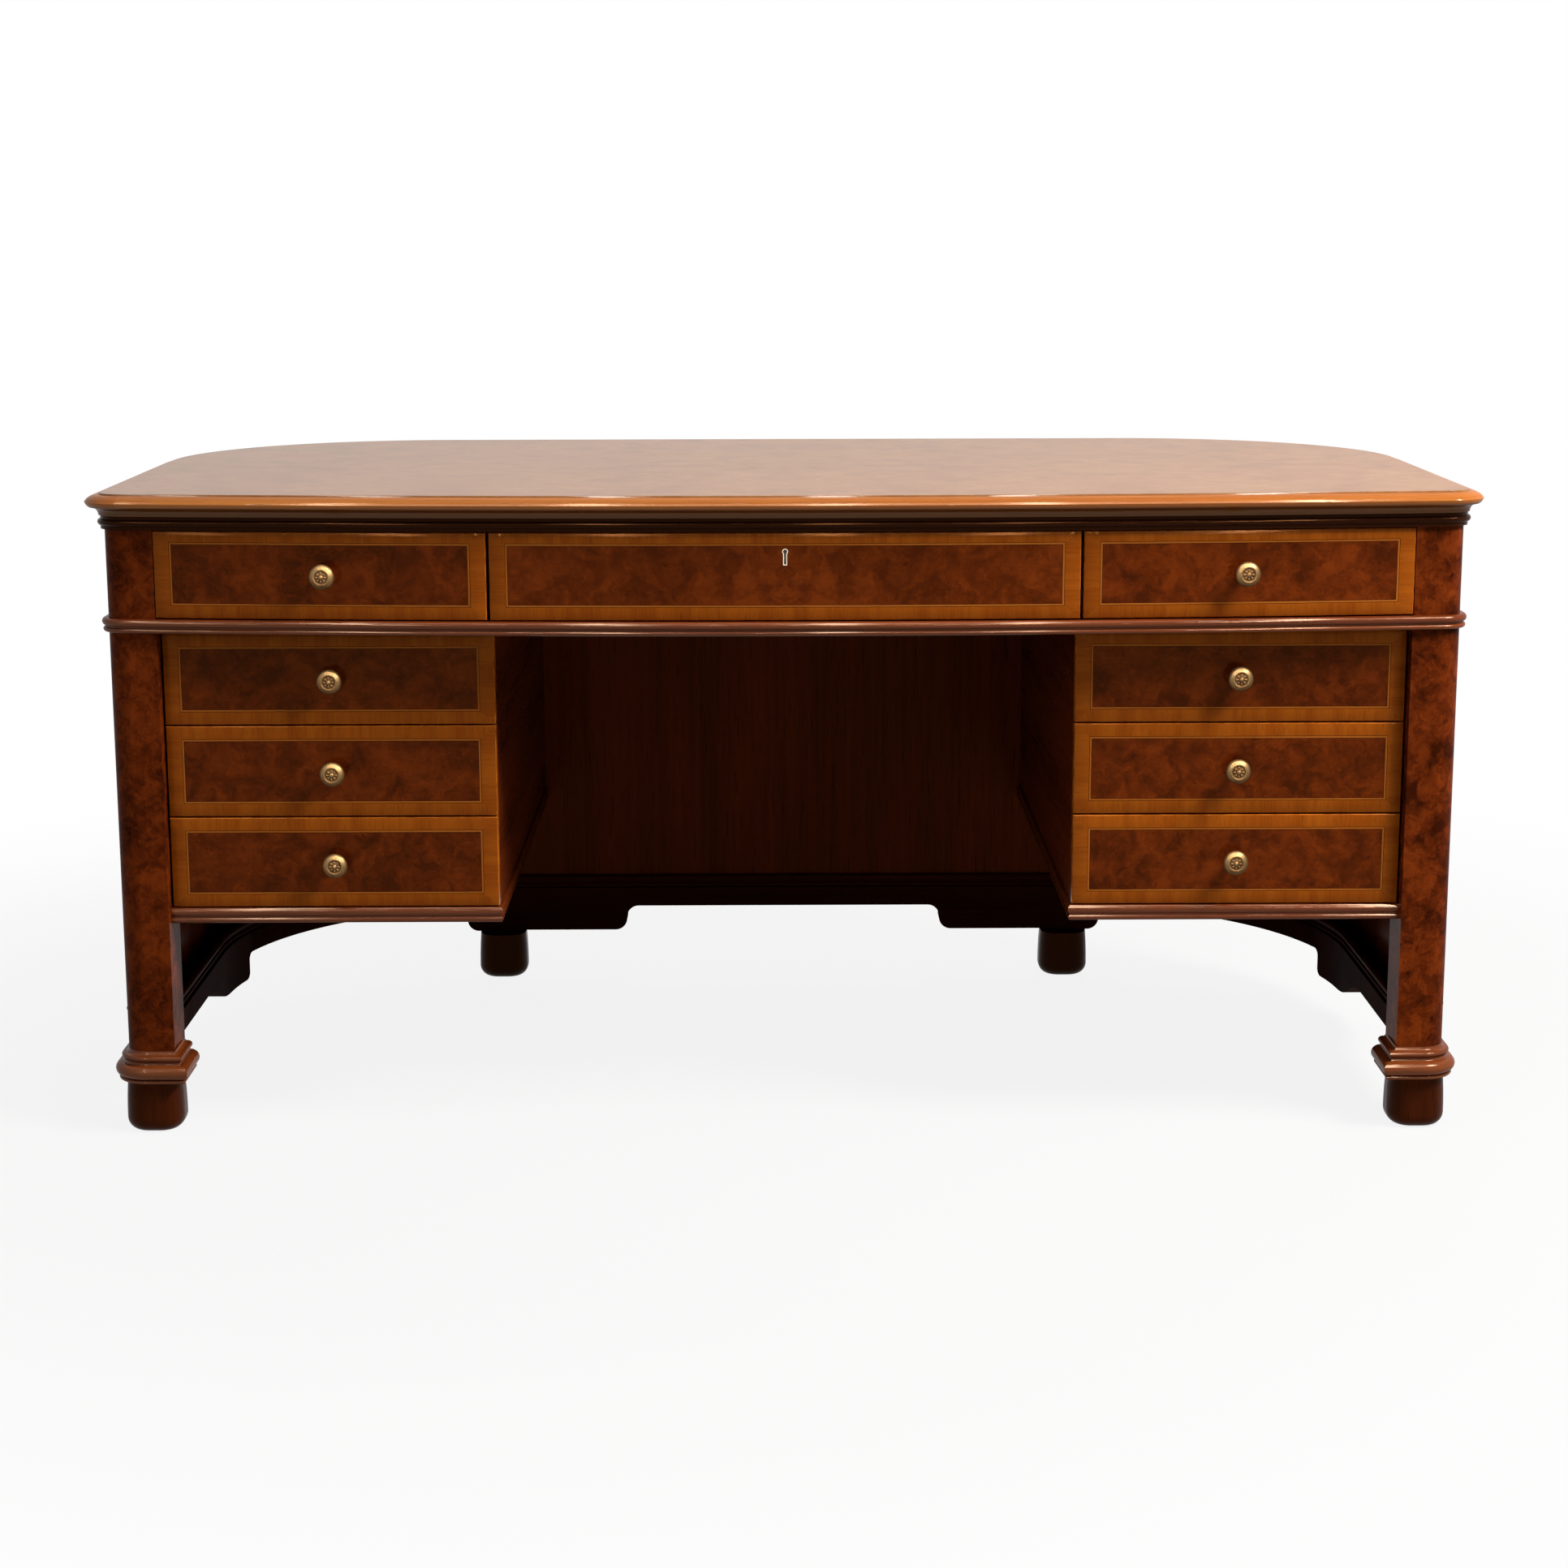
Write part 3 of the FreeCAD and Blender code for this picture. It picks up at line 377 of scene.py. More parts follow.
def grained_wood(name, deep, body, light, source="Object", turn=(0, 0, 0), along=3.0, across=160.0,
                 shine=0.10, level=0.15, contrast=0.55, tint=TINTED, matt=0.0, cove=None):
    """Polished straight-grained wood, darkened by painted shade from the cove's first length to its second
    """
    material, tree, shader = new_material(name)
    place = placed(tree, source, turn)
    grain = use(tree, "straight_grain", {"Vector": place, "Along": along, "Across": across})
    darkest = [c * 0.45 for c in deep]
    rubbed = [min(255, c * 1.25 + 10) for c in light]
    colour = washed(tree, srgb(*body), grain["Streak"], contrast, deep)
    colour = washed(tree, colour, grain["Band"], contrast, light)
    colour = washed(tree, colour, grain["Pore"], 0.5, darkest)
    # Painted shade: the downward-facing span of the profile given as the cove is darkened
    if cove:
        colour = washed(tree, colour, between(tree, split(tree, place)["Y"], *cove), 0.8, darkest)
    edge = add(tree, "ShaderNodeAttribute", attribute_name="edge").outputs["Fac"]
    colour = use(tree, "rubbed_edges", {
        "Color": colour, "Rubbed": srgb(*rubbed), "Edge": edge, "Vector": place})["Color"]
    put(tree, shader.inputs["Base Color"], colour)
    french_polish(tree, shader, place, times(tree, grain["Pore"], -0.6), shine, level, tint)
    if matt:
        dulled(tree, shader, colour, matt)
    return material


FLAME_GAIN = 0.34


def flame(tree, place, centre, low, high):
    """Pale wedge that widens downwards, mirrored by the matched leaves"""
    wander = maths(tree, "SUBTRACT", noise(tree, place, 90.0, 3.0)["Fac"], 0.5)
    parts = split(tree, place)
    off = maths(tree, "ABSOLUTE", maths(tree, "SUBTRACT", parts["X"], centre))
    off = maths(tree, "MULTIPLY_ADD", wander, 0.006, off)
    width = between(tree, parts["Y"], low, high, 0.026, 0.003)
    inside = between(tree, maths(tree, "DIVIDE", off, width), 0.30, 1.1, 1.0, 0.0)
    return times(tree, inside, between(tree, parts["Y"], high - 0.02, high, 1.0, 0.0))


def figured_wood(name, deep, body, light, source="Object", turn=(0, 0, 0), size=0.03, leaf=0.0,
                 shine=0.08, level=0.15, tint=TINTED, wedge=None, matt=0.0, pits=0.5):
    """Polished burl, in matched leaves where a leaf's width is given, with a flame where a wedge is"""
    material, tree, shader = new_material(name)
    place = placed(tree, source, turn)
    if leaf:
        parts = split(tree, place)
        folded = maths(tree, "PINGPONG", parts["X"], leaf)
        place = joined(tree, X=folded, Y=parts["Y"], Z=parts["Z"])
    burl = use(tree, "burl_figure", {"Vector": place, "Size": size})
    grain = use(tree, "straight_grain", {"Vector": place, "Along": 30.0, "Across": 260.0, "Wander": 0.03})
    tone = burl["Tone"]
    if wedge:
        tone = maths(tree, "MULTIPLY_ADD", flame(tree, place, *wedge), FLAME_GAIN, tone)
    ramp = add(tree, "ShaderNodeValToRGB", {"Fac": tone})
    stops = ramp.color_ramp.elements
    stops[0].position, stops[0].color = 0.15, srgb(*deep)
    stops[1].position, stops[1].color = 0.90, srgb(*light)
    stops.new(0.5).color = srgb(*body)
    darkest = [c * 0.5 for c in deep]
    colour = washed(tree, ramp.outputs["Color"], burl["Eye"], 0.6, darkest)
    colour = washed(tree, colour, grain["Streak"], 0.18, deep)
    colour = washed(tree, colour, grain["Pore"], 0.22, darkest)
    put(tree, shader.inputs["Base Color"], colour)
    french_polish(tree, shader, place, times(tree, burl["Eye"], -pits), shine, level, tint)
    if matt:
        dulled(tree, shader, colour, matt)
    return material


def plain_wood(name, deep, body, light, turn=(0, 0, 0)):
    """Unpolished wood of the drawers' insides"""
    material, tree, shader = new_material(name)
    place = placed(tree, "Object", turn)
    grain = use(tree, "straight_grain", {"Vector": place, "Along": 5.0, "Across": 190.0})
    polish = use(tree, "old_polish", {"Vector": place, "Shine": 0.55, "Dull": 0.2})
    colour = washed(tree, srgb(*body), grain["Streak"], 0.6, deep)
    colour = washed(tree, colour, grain["Band"], 0.5, light)
    colour = washed(tree, colour, grain["Pore"], 0.5, [c * 0.6 for c in deep])
    sunk_pores = bumped(tree, times(tree, grain["Pore"], -1.0), 0.25, 0.0004)
    feed(tree, shader, {"Base Color": colour, "Roughness": polish["Roughness"], "Normal": sunk_pores,
                        "Specular IOR Level": 0.3})
    return material


def aged_metal(name, bright, tarnish_and_shade_colour, rough):
    """Metal tarnished in its hollows and with painted shade on its lower side, both marked by a vertex
    attribute
    """
    material, tree, shader = new_material(name)
    place = placed(tree, "Object")
    spots = noise(tree, place, 420.0, 5.0, 0.65)["Fac"]
    clouds = noise(tree, place, 90.0, 3.0)["Fac"]
    tarnish_and_shade = add(tree, "ShaderNodeAttribute", attribute_name="tarnish_and_shade").outputs["Fac"]
    # The attribute paints shade on a knob's lower side as well as marking its tarnished hollows
    tarnish_and_shade_share = times(tree, tarnish_and_shade, 0.85)
    tarnish_and_shade_share = maths(tree, "MULTIPLY_ADD", between(tree, clouds, 0.45, 0.7), 0.25, tarnish_and_shade_share)
    tarnish_and_shade_share = maths(tree, "MULTIPLY_ADD", between(tree, spots, 0.58, 0.66), 0.18, tarnish_and_shade_share)
    capped = maths(tree, "MINIMUM", tarnish_and_shade_share, 1.0)
    scratches = use(tree, "old_polish", {"Vector": place, "Shine": 0.2, "Dull": 0.2})
    height = maths(tree, "MULTIPLY_ADD", scratches["Hairlines"], -0.4, spots)
    feed(tree, shader, {"Base Color": blended(tree, capped, srgb(*bright), srgb(*tarnish_and_shade_colour)),
                        "Roughness": maths(tree, "MULTIPLY_ADD", capped, 0.30, rough),
                        "Normal": bumped(tree, height, 0.12, 0.0002), "Metallic": 1.0})
    return material


def make_finishes():
    """Every finish by name, from its dark, middle and light colours"""
    groups["straight_grain"] = grain_group()
    groups["burl_figure"] = burl_group()
    groups["old_polish"] = polish_group()
    groups["rubbed_edges"] = wear_group()
    upright, crosswise = (0, 90, 0), (0, 0, 90)
    return {
        "burl": figured_wood("burl_fields", (56, 17, 3), (82, 29, 5), (104, 41, 8), "UV"),
        "burl_matched": figured_wood("burl_matched_leaves", (62, 19, 3), (83, 30, 5), (104, 42, 9), "UV",
                                     wedge=(0.045, 0.655, 0.715)),
        "banding": grained_wood("cross_banding", (110, 49, 6), (130, 62, 10), (148, 78, 16), "UV",
                                crosswise, along=8.0, across=420.0, contrast=0.5),
        "light_line": grained_wood("light_stringing", (122, 62, 14), (146, 80, 24), (160, 94, 34), "UV",
                                   along=6.0, across=500.0, contrast=0.4),
        "dark_line": grained_wood("dark_stringing", (26, 9, 3), (44, 17, 6), (58, 24, 9), "UV",
                                  along=6.0, across=500.0, contrast=0.4),
        "top": figured_wood("top_veneer_leaves", (123, 79, 42), (136, 91, 51), (143, 98, 57), size=0.034,
                            leaf=0.404, shine=0.05, level=0.5, tint=CLEAR, matt=0.5, pits=0.1),
        "lipping": grained_wood("lipping_wood", (118, 58, 16), (150, 84, 29), (174, 106, 44), "UV",
                                along=2.0, across=260.0, level=0.80, tint=WARM, matt=0.6,
                                cove=(0.0500, 0.0545)),
        "beads": grained_wood("bead_wood", (66, 22, 6), (92, 37, 11), (112, 51, 18), "UV",
                              along=2.0, across=300.0, level=1.0, tint=WARM, matt=0.65),
        # Very dark colour that paints the shade falling under the lipping onto the bead
        "shade_bead": grained_wood("under_lip_wood_painted_shade", (22, 8, 4), (36, 14, 6), (52, 22, 10), "UV",
                                   along=2.0, across=300.0, matt=0.4),
        "post": figured_wood("post_veneer", (48, 15, 4), (84, 31, 8), (112, 46, 13), turn=upright,
                             size=0.022, matt=0.8),
        "case": grained_wood("case_veneer_upright", (58, 19, 5), (86, 33, 9), (106, 44, 13), turn=upright,
                             along=2.5, across=110.0, shine=0.18, matt=0.75),
        "case_level": grained_wood("case_veneer_level", (30, 10, 4), (48, 18, 7), (64, 26, 10),
                                   along=2.5, across=120.0, shine=0.22, matt=0.97),
        "case_deep": grained_wood("case_veneer_deepwise", (54, 18, 5), (80, 30, 9), (100, 40, 13),
                                  turn=crosswise, along=2.5, across=120.0, shine=0.22, matt=0.8),
        "feet": grained_wood("foot_wood", (30, 9, 3), (50, 17, 5), (68, 26, 8), turn=upright,
                             along=4.0, across=140.0, matt=0.5),
        "collars": grained_wood("collar_wood", (68, 26, 9), (96, 43, 16), (120, 60, 26), "UV",
                                along=4.0, across=300.0, level=0.80, tint=WARM, matt=0.65),
        "base": grained_wood("base_moulding_wood", (34, 11, 4), (52, 19, 7), (70, 28, 10),
                             along=2.0, across=200.0, shine=0.22, matt=0.9),
        "inner_deep": plain_wood("drawer_lining_deepwise", (132, 88, 48), (168, 122, 74), (190, 148, 98),
                                 crosswise),
        "inner_level": plain_wood("inner_boards", (112, 72, 40), (146, 102, 60), (168, 126, 80)),
        "brass": aged_metal("aged_brass", (126, 99, 64), (70, 43, 23), 0.42),
        # Nearly white colour that paints the glint of the keyhole's lining
        "lining": aged_metal("keyhole_brass_painted_glint", (250, 232, 204), (190, 160, 116), 0.20),
        "steel": aged_metal("lock_steel", (112, 110, 108), (58, 52, 46), 0.38),
    }


# Meshes of the pieces

def mesh_of(work, name, *finishes):
    """Mesh of a working mesh, which is freed, with its finishes"""
    mesh = bpy.data.meshes.new(name)
    work.to_mesh(mesh)
    work.free()
    for finish in finishes:
        mesh.materials.append(finish)
    return mesh


def as_piece(mesh, name, body, replaced, sharp=32.0):
    """Object of a finished mesh on its body, in place of the CAD nodes that it stands for"""
    work = bmesh.new()
    work.from_mesh(mesh)
    bmesh.ops.remove_doubles(work, verts=work.verts, dist=1e-6)
    open_edges = [e for e in work.edges if e.is_boundary]
    if open_edges:
        bmesh.ops.holes_fill(work, edges=open_edges, sides=0)
    bmesh.ops.recalc_face_normals(work, faces=work.faces)
    work.to_mesh(mesh)
    work.free()
    for face in mesh.polygons:
        face.use_smooth = True
    mesh.set_sharp_from_angle(angle=math.radians(sharp))
    made = new_object(name, mesh)
    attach(made, body)
    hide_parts(*replaced)
    return made


def arc_between(start, middle, end, steps):
    """Points after the start on the arc through three points"""
    (ax, ay), (bx, by), (cx, cy) = start, middle, end
    d = 2 * (ax * (by - cy) + bx * (cy - ay) + cx * (ay - by))
    a2, b2, c2 = ax * ax + ay * ay, bx * bx + by * by, cx * cx + cy * cy
    ux = (a2 * (by - cy) + b2 * (cy - ay) + c2 * (ay - by)) / d
    uy = (a2 * (cx - bx) + b2 * (ax - cx) + c2 * (bx - ax)) / d
    radius = math.hypot(ax - ux, ay - uy)
    first = math.atan2(ay - uy, ax - ux)
    last = math.atan2(cy - uy, cx - ux)
    through = math.atan2(by - uy, bx - ux)
    turn = (last - first) % (2 * math.pi)
    if (through - first) % (2 * math.pi) > turn:
        turn -= 2 * math.pi
    angles = [first + turn * k / steps for k in range(1, steps + 1)]
    return [(ux + radius * math.cos(a), uy + radius * math.sin(a)) for a in angles]


def outline_of(start, steps, fineness=10):
    """Closed profile from a start and steps, each an end point or a middle and an end of an arc"""
    points = [start]
    for step in steps:
        if isinstance(step[0], tuple):
            points += arc_between(points[-1], step[0], step[1], fineness)
        else:
            points.append(step)
    return points + [start]


def plan_arc(x, y, radius, start, sweep, steps):
    points = []
    for k in range(steps + 1):
        a = math.radians(start + sweep * k / steps)
        outward = Vector((math.cos(a), math.sin(a), 0))
        points.append((Vector((x, y, 0)) + outward * radius, outward))
    return points


def desk_plan(inset):
    """The desk's plan from the bow's left end, counterclockwise, as places and outward directions"""
    lean = math.degrees(math.atan2(half_chord, bow_centre_y - corner_y))
    small = front_corner - inset
    large = rear_corner - inset
    plan = plan_arc(0, bow_centre_y, bow_radius - inset, -90 - lean, 2 * lean, 72)
    plan += plan_arc(half_chord, corner_y, small, lean - 90, 90 - lean, 14)
    plan += plan_arc(rear_x, rear_y, large, 0, 90, 44)
    plan += plan_arc(-rear_x, rear_y, large, 90, 90, 44)
    plan += plan_arc(-half_chord, corner_y, small, 180, 90 - lean, 14)
    return plan


def without_doubles(plan):
    kept = []
    for place, outward in plan:
        if not kept or (place - kept[-1][0]).length > 1e-6 or (outward - kept[-1][1]).length > 1e-3:
            kept.append((place, outward))
    return kept


def plan_object(plan, closed):
    """Helper whose points carry the way out and the length run so far"""
    plan = without_doubles(plan)
    if closed and (plan[0][0] - plan[-1][0]).length > 1e-6:
        plan.append(plan[0])
    mesh = bpy.data.meshes.new("plan_line")
    mesh.from_pydata([tuple(p) for p, _ in plan], [(i, i + 1) for i in range(len(plan) - 1)], [])
    mesh.attributes.new("outward", "FLOAT_VECTOR", "POINT")
    mesh.attributes.new("run", "FLOAT", "POINT")
    outward, run = mesh.attributes["outward"], mesh.attributes["run"]
    length = 0.0
    for i, (place, way) in enumerate(plan):
        if i:
            length += (place - plan[i - 1][0]).length
        outward.data[i].vector = way
        run.data[i].value = length
    return new_object("plan_line", mesh)


def profile_object(points):
    """Helper whose points carry the length run so far round the profile"""
    mesh = bpy.data.meshes.new("profile_line")
    mesh.from_pydata([(x, 0, z) for x, z in points], [(i, i + 1) for i in range(len(points) - 1)], [])
    run = mesh.attributes.new("run", "FLOAT", "POINT")
    length = 0.0
    for i, point in enumerate(points):
        if i:
            length += math.dist(point, points[i - 1])
        run.data[i].value = length
    return new_object("profile_line", mesh)


def moulding_tree():
    """Geometry nodes that carry a profile round a plan"""
    tree, given, out = new_group("moulding_round_plan", [
        ("Plan", "Object", None), ("Profile", "Object", None), ("Finish", "Material", None),
    ], [("Geometry", "Geometry")], "GeometryNodeTree")

    def line_of(label):
        line = add(tree, "GeometryNodeObjectInfo", {"Object": given[label]}).outputs["Geometry"]
        size = add(tree, "GeometryNodeAttributeDomainSize", {"Geometry": line})
        return line, size.outputs["Point Count"]

    (plan, plan_count), (profile, profile_count) = line_of("Plan"), line_of("Profile")
    grid = add(tree, "GeometryNodeMeshGrid", {"Vertices X": plan_count, "Vertices Y": profile_count})
    index = tree.nodes.new("GeometryNodeInputIndex").outputs[0]
    along = maths(tree, "FLOOR", maths(tree, "DIVIDE", index, profile_count))
    round_it = maths(tree, "SUBTRACT", index, times(tree, along, profile_count))

    def sampled(geometry, kind, value, place):
        made = add(tree, "GeometryNodeSampleIndex", {"Geometry": geometry, "Index": place}, data_type=kind)
        put(tree, made.inputs["Value"], value)
        return made.outputs["Value"]

    def named(kind, label):
        made = add(tree, "GeometryNodeInputNamedAttribute", {"Name": label}, data_type=kind)
        return made.outputs["Attribute"]

    position = tree.nodes.new("GeometryNodeInputPosition").outputs[0]
    place = sampled(plan, "FLOAT_VECTOR", position, along)
    way = sampled(plan, "FLOAT_VECTOR", named("FLOAT_VECTOR", "outward"), along)
    shape = split(tree, sampled(profile, "FLOAT_VECTOR", position, round_it))
    pushed = vectors(tree, "ADD", place, vectors(tree, "SCALE", way, shape["X"]))
    there = vectors(tree, "ADD", pushed, joined(tree, Z=shape["Z"]))
    moved = add(tree, "GeometryNodeSetPosition", {"Geometry": grid.outputs["Mesh"], "Position": there})
    run = named("FLOAT", "run")
    flat = joined(tree, X=sampled(plan, "FLOAT", run, along), Y=sampled(profile, "FLOAT", run, round_it))
    held = tree.nodes.new("GeometryNodeCaptureAttribute")
    held.capture_items.new("VECTOR", "flat")
    feed(tree, held, {"Geometry": moved.outputs[0], "flat": flat})
    stored = add(tree, "GeometryNodeStoreNamedAttribute", {
        "Geometry": held.outputs["Geometry"], "Name": "UVMap"}, data_type="FLOAT2", domain="CORNER")
    put(tree, stored.inputs["Value"], held.outputs["flat"])
    real = add(tree, "GeometryNodeRealizeInstances", {"Geometry": stored.outputs[0]}).outputs[0]
    finished = add(tree, "GeometryNodeSetMaterial", {"Geometry": real, "Material": given["Finish"]})
    put(tree, out["Geometry"], finished.outputs[0])
    return tree


def grown(tree, inputs):
    """Plain mesh of a tree's result"""
    carrier = new_object("carrier", bpy.data.meshes.new("carrier"))
    modifier = carrier.modifiers.new("nodes", "NODES")
    modifier.node_group = tree
    for item in tree.interface.items_tree:
        if item.item_type == "SOCKET" and item.in_out == "INPUT" and item.name in inputs:
            modifier[item.identifier] = inputs[item.name]
    depsgraph = bpy.context.evaluated_depsgraph_get()
    mesh = bpy.data.meshes.new_from_object(carrier.evaluated_get(depsgraph), depsgraph=depsgraph)
    carrier.modifiers.clear()
    bpy.data.objects.remove(carrier)
    return mesh


trees = {}


def moulding(name, plans, closed, profile, finish, replaced):
    """Piece of one moulding carried round its plans"""
    whole = bmesh.new()
    for plan in plans:
        line, shape = plan_object(plan, closed), profile_object(profile)
        whole.from_mesh(grown(trees["moulding"], {"Plan": line, "Profile": shape, "Finish": finish}))
        bpy.data.objects.remove(line)
        bpy.data.objects.remove(shape)
    return as_piece(mesh_of(whole, name, finish), name, "carcass", replaced)


def bead_pair(z0, z1, reach):
    """Profile of two beads with a groove between them, the upper one taller and further out"""
    height = z1 - z0
    z_low = z0 + height * 0.36
    z_groove = z_low + height * 0.08
    flat = reach * 0.5
    return outline_of((0.0, z0), [
        (flat, z0),
        ((reach * 0.85, (z0 + z_low) / 2), (flat, z_low)),
        (flat, z_groove),
        ((reach, (z_groove + z1) / 2), (flat, z1)),
        (0.0, z1),
    ])


def lip_profile():
    """Thumb nose over a cove, with a tongue let into the panel's edge"""
    tongue = -0.004
    return outline_of((tongue, lipping_low), [
        (tongue, 0.7778),
        (0, lipping_high),
        ((0.01122, 0.77528), (nose_reach, 0.770)),
        ((0.01574, 0.76675), (0.0125, 0.7635)),
        ((0.00458, 0.76084), (0.0015, lipping_low)),
    ], 14)


def sub_bead_profile():
    """Dark fillet and bead between the case and the lipping"""
    seat, fillet = -0.003, 0.0045
    return outline_of((seat, case_top), [
        (fillet, case_top),
        (fillet, 0.742),
        ((0.008, 0.746), (fillet, 0.750)),
        (fillet, lipping_low),
        (seat, lipping_low),
    ])


def add_top(finish):
    """Veneered panel with a fine rounded edge, from rings of an inset and a height"""
    rings = [(0.0, 0.756), (0.0, 0.7791), (0.0003, 0.7797), (0.0010, top_z), (0.0030, top_z)]
    work = bmesh.new()
    edge = work.verts.layers.float.new("edge")
    loops = []
    for inset, z in rings:
        plan = without_doubles(desk_plan(inset))
        loops.append([work.verts.new((p.x, p.y, z)) for p, _ in plan])
    for low, high in zip(loops, loops[1:]):
        for i in range(len(low)):
            j = (i + 1) % len(low)
            work.faces.new((low[i], low[j], high[j], high[i]))
    work.faces.new(loops[-1])
    work.faces.new(list(reversed(loops[0])))
    for vert in loops[2]:
        vert[edge] = 1.0
    mesh = mesh_of(work, "writing_top", finish)
    return as_piece(mesh, "writing_top", "carcass", ["top_panel"], 40.0)


# Drawer fronts

line_widths = (0.0006, 0.0020, 0.0006)  # dark, light and dark line
ARRIS = ((0.0, 0.0010), (0.0003, 0.00035), (0.0010, 0.0))  # way in from the edge, depth there
BANDING, DARK, LIGHT, BURL = range(4)
STRIPS = (BANDING, BANDING, BANDING, DARK, LIGHT, DARK)  # from the edge to the field
side_banding_shift = 3.0  # keeps the side banding's grain unlike the level banding's
pedestal_bands = (0.0180, 0.0150, 0.0155)  # at the sides, at the bottom, at the top
frieze_bands = (0.0185, 0.0150, 0.0125)


def steps_across(low, high, low_band, high_band, field_steps):
    """Places from edge to edge with the depth of the arris at each"""
    def inlay(edge, way, band):
        lines = [band]
        for width in line_widths:
            lines.append(lines[-1] + width)
        places = list(ARRIS) + [(inset, 0.0) for inset in lines]
        return [(edge + way * inset, depth) for inset, depth in places]

    near, far = inlay(low, 1, low_band), inlay(high, -1, high_band)
    start, end = near[-1][0], far[-1][0]
    field = [(start + (end - start) * k / field_steps, 0.0) for k in range(1, field_steps)]
    return near + field + far[::-1]


def add_front(name, body, replaced, span_x, span_z, bands, face_y, shift, matched, finishes, columns):
    """Front with mitred cross-banding, stringing and a burl field"""
    (x0, x1), (z0, z1) = span_x, span_z
    side_band, low_band, high_band = bands
    across = steps_across(x0, x1, side_band, side_band, columns)
    up = steps_across(z0, z1, low_band, high_band, 2)
    work = bmesh.new()
    flat = work.loops.layers.uv.new("UVMap")
    edge = work.verts.layers.float.new("edge")
    grid = []
    for ix, (x, dx) in enumerate(across):
        column = []
        for iz, (z, dz) in enumerate(up):
            vert = work.verts.new((x, face_y(x) + max(dx, dz), z))
            vert[edge] = 1.0 if max(dx, dz) > 0.0002 else 0.0
            column.append(vert)
        grid.append(column)
    last_x, last_z = len(across) - 2, len(up) - 2
    centre = (x0 + x1) / 2

    def lay(corners, zone, level):
        face = work.faces.new(corners)
        face.material_index = zone
        for loop in face.loops:
            x, z = loop.vert.co.x, loop.vert.co.z
            if zone == BURL:
                u = abs(x - centre) if matched else x - centre
                loop[flat].uv = (u + shift[0], z + shift[1])
            elif level:
                loop[flat].uv = (x, z)
            else:
                loop[flat].uv = (z + side_banding_shift, x)

    for ix in range(last_x + 1):
        for iz in range(last_z + 1):
            from_x, from_z = min(ix, last_x - ix), min(iz, last_z - iz)
            depth = min(from_x, from_z)
            zone = STRIPS[depth] if depth < len(STRIPS) else BURL
            a, b, c, d = grid[ix][iz], grid[ix + 1][iz], grid[ix + 1][iz + 1], grid[ix][iz + 1]
            if from_x == from_z and depth < len(STRIPS):
                low, left = iz < last_z / 2, ix < last_x / 2
                if low == left:
                    lay((a, b, c), zone, low)
                    lay((a, c, d), zone, not low)
                else:
                    lay((a, b, d), zone, low)
                    lay((b, c, d), zone, not low)
            else:
                lay((a, b, c, d), zone, from_z < from_x)
    back_low, back_high = (
        [work.verts.new((x, face_y(x) + front_thickness, z)) for x, _ in across] for z in (z0, z1))
    rest = []
    for i in range(len(across) - 1):
        rest.append((grid[i + 1][0], grid[i][0], back_low[i], back_low[i + 1]))
        rest.append((grid[i][-1], grid[i + 1][-1], back_high[i + 1], back_high[i]))
        rest.append((back_low[i + 1], back_low[i], back_high[i], back_high[i + 1]))
    rest.append(tuple(grid[0]) + (back_high[0], back_low[0]))
    rest.append(tuple(reversed(grid[-1])) + (back_low[-1], back_high[-1]))
    for corners in rest:
        face = work.faces.new(corners)
        face.material_index = BANDING
        for loop in face.loops:
            loop[flat].uv = (loop.vert.co.y + loop.vert.co.z, loop.vert.co.x)
    keys = ("banding", "dark_line", "light_line", "burl_matched" if matched else "burl")
    mesh = mesh_of(work, name, *[finishes[key] for key in keys])
    return as_piece(mesh, name, body, replaced, 60.0)


def pierced_by_keyhole(front):
    """Cuts the keyhole's outline, a round head over a straight leg, through the middle front"""
    work = bmesh.new()
    cut_from, cut_to = front_y - 0.01, front_y + 0.05
    start = -math.acos(keyhole_half_leg / keyhole_radius)
    angles = [start + (math.pi - 2 * start) * k / 24 for k in range(25)]
    rim = [(keyhole_radius * math.cos(a), keyhole_z + keyhole_radius * math.sin(a)) for a in angles]
    rim += [(-keyhole_half_leg, keyhole_low), (keyhole_half_leg, keyhole_low)]
    near = [work.verts.new((x, cut_from, z)) for x, z in rim]
    far = [work.verts.new((x, cut_to, z)) for x, z in rim]
    work.faces.new(near)
    work.faces.new(list(reversed(far)))
    for i in range(len(rim)):
        j = (i + 1) % len(rim)
        work.faces.new((near[i], far[i], far[j], near[j]))
    bmesh.ops.recalc_face_normals(work, faces=work.faces)
    cutter = new_object("keyhole_cut", mesh_of(work, "keyhole_cut"))
    boolean = front.modifiers.new("keyhole", "BOOLEAN")
    boolean.operation = "DIFFERENCE"
    boolean.solver = "EXACT"
    boolean.object = cutter
    depsgraph = bpy.context.evaluated_depsgraph_get()
    cut = bpy.data.meshes.new_from_object(front.evaluated_get(depsgraph), depsgraph=depsgraph)
    front.modifiers.clear()
    front.data = cut
    bpy.data.objects.remove(cutter)


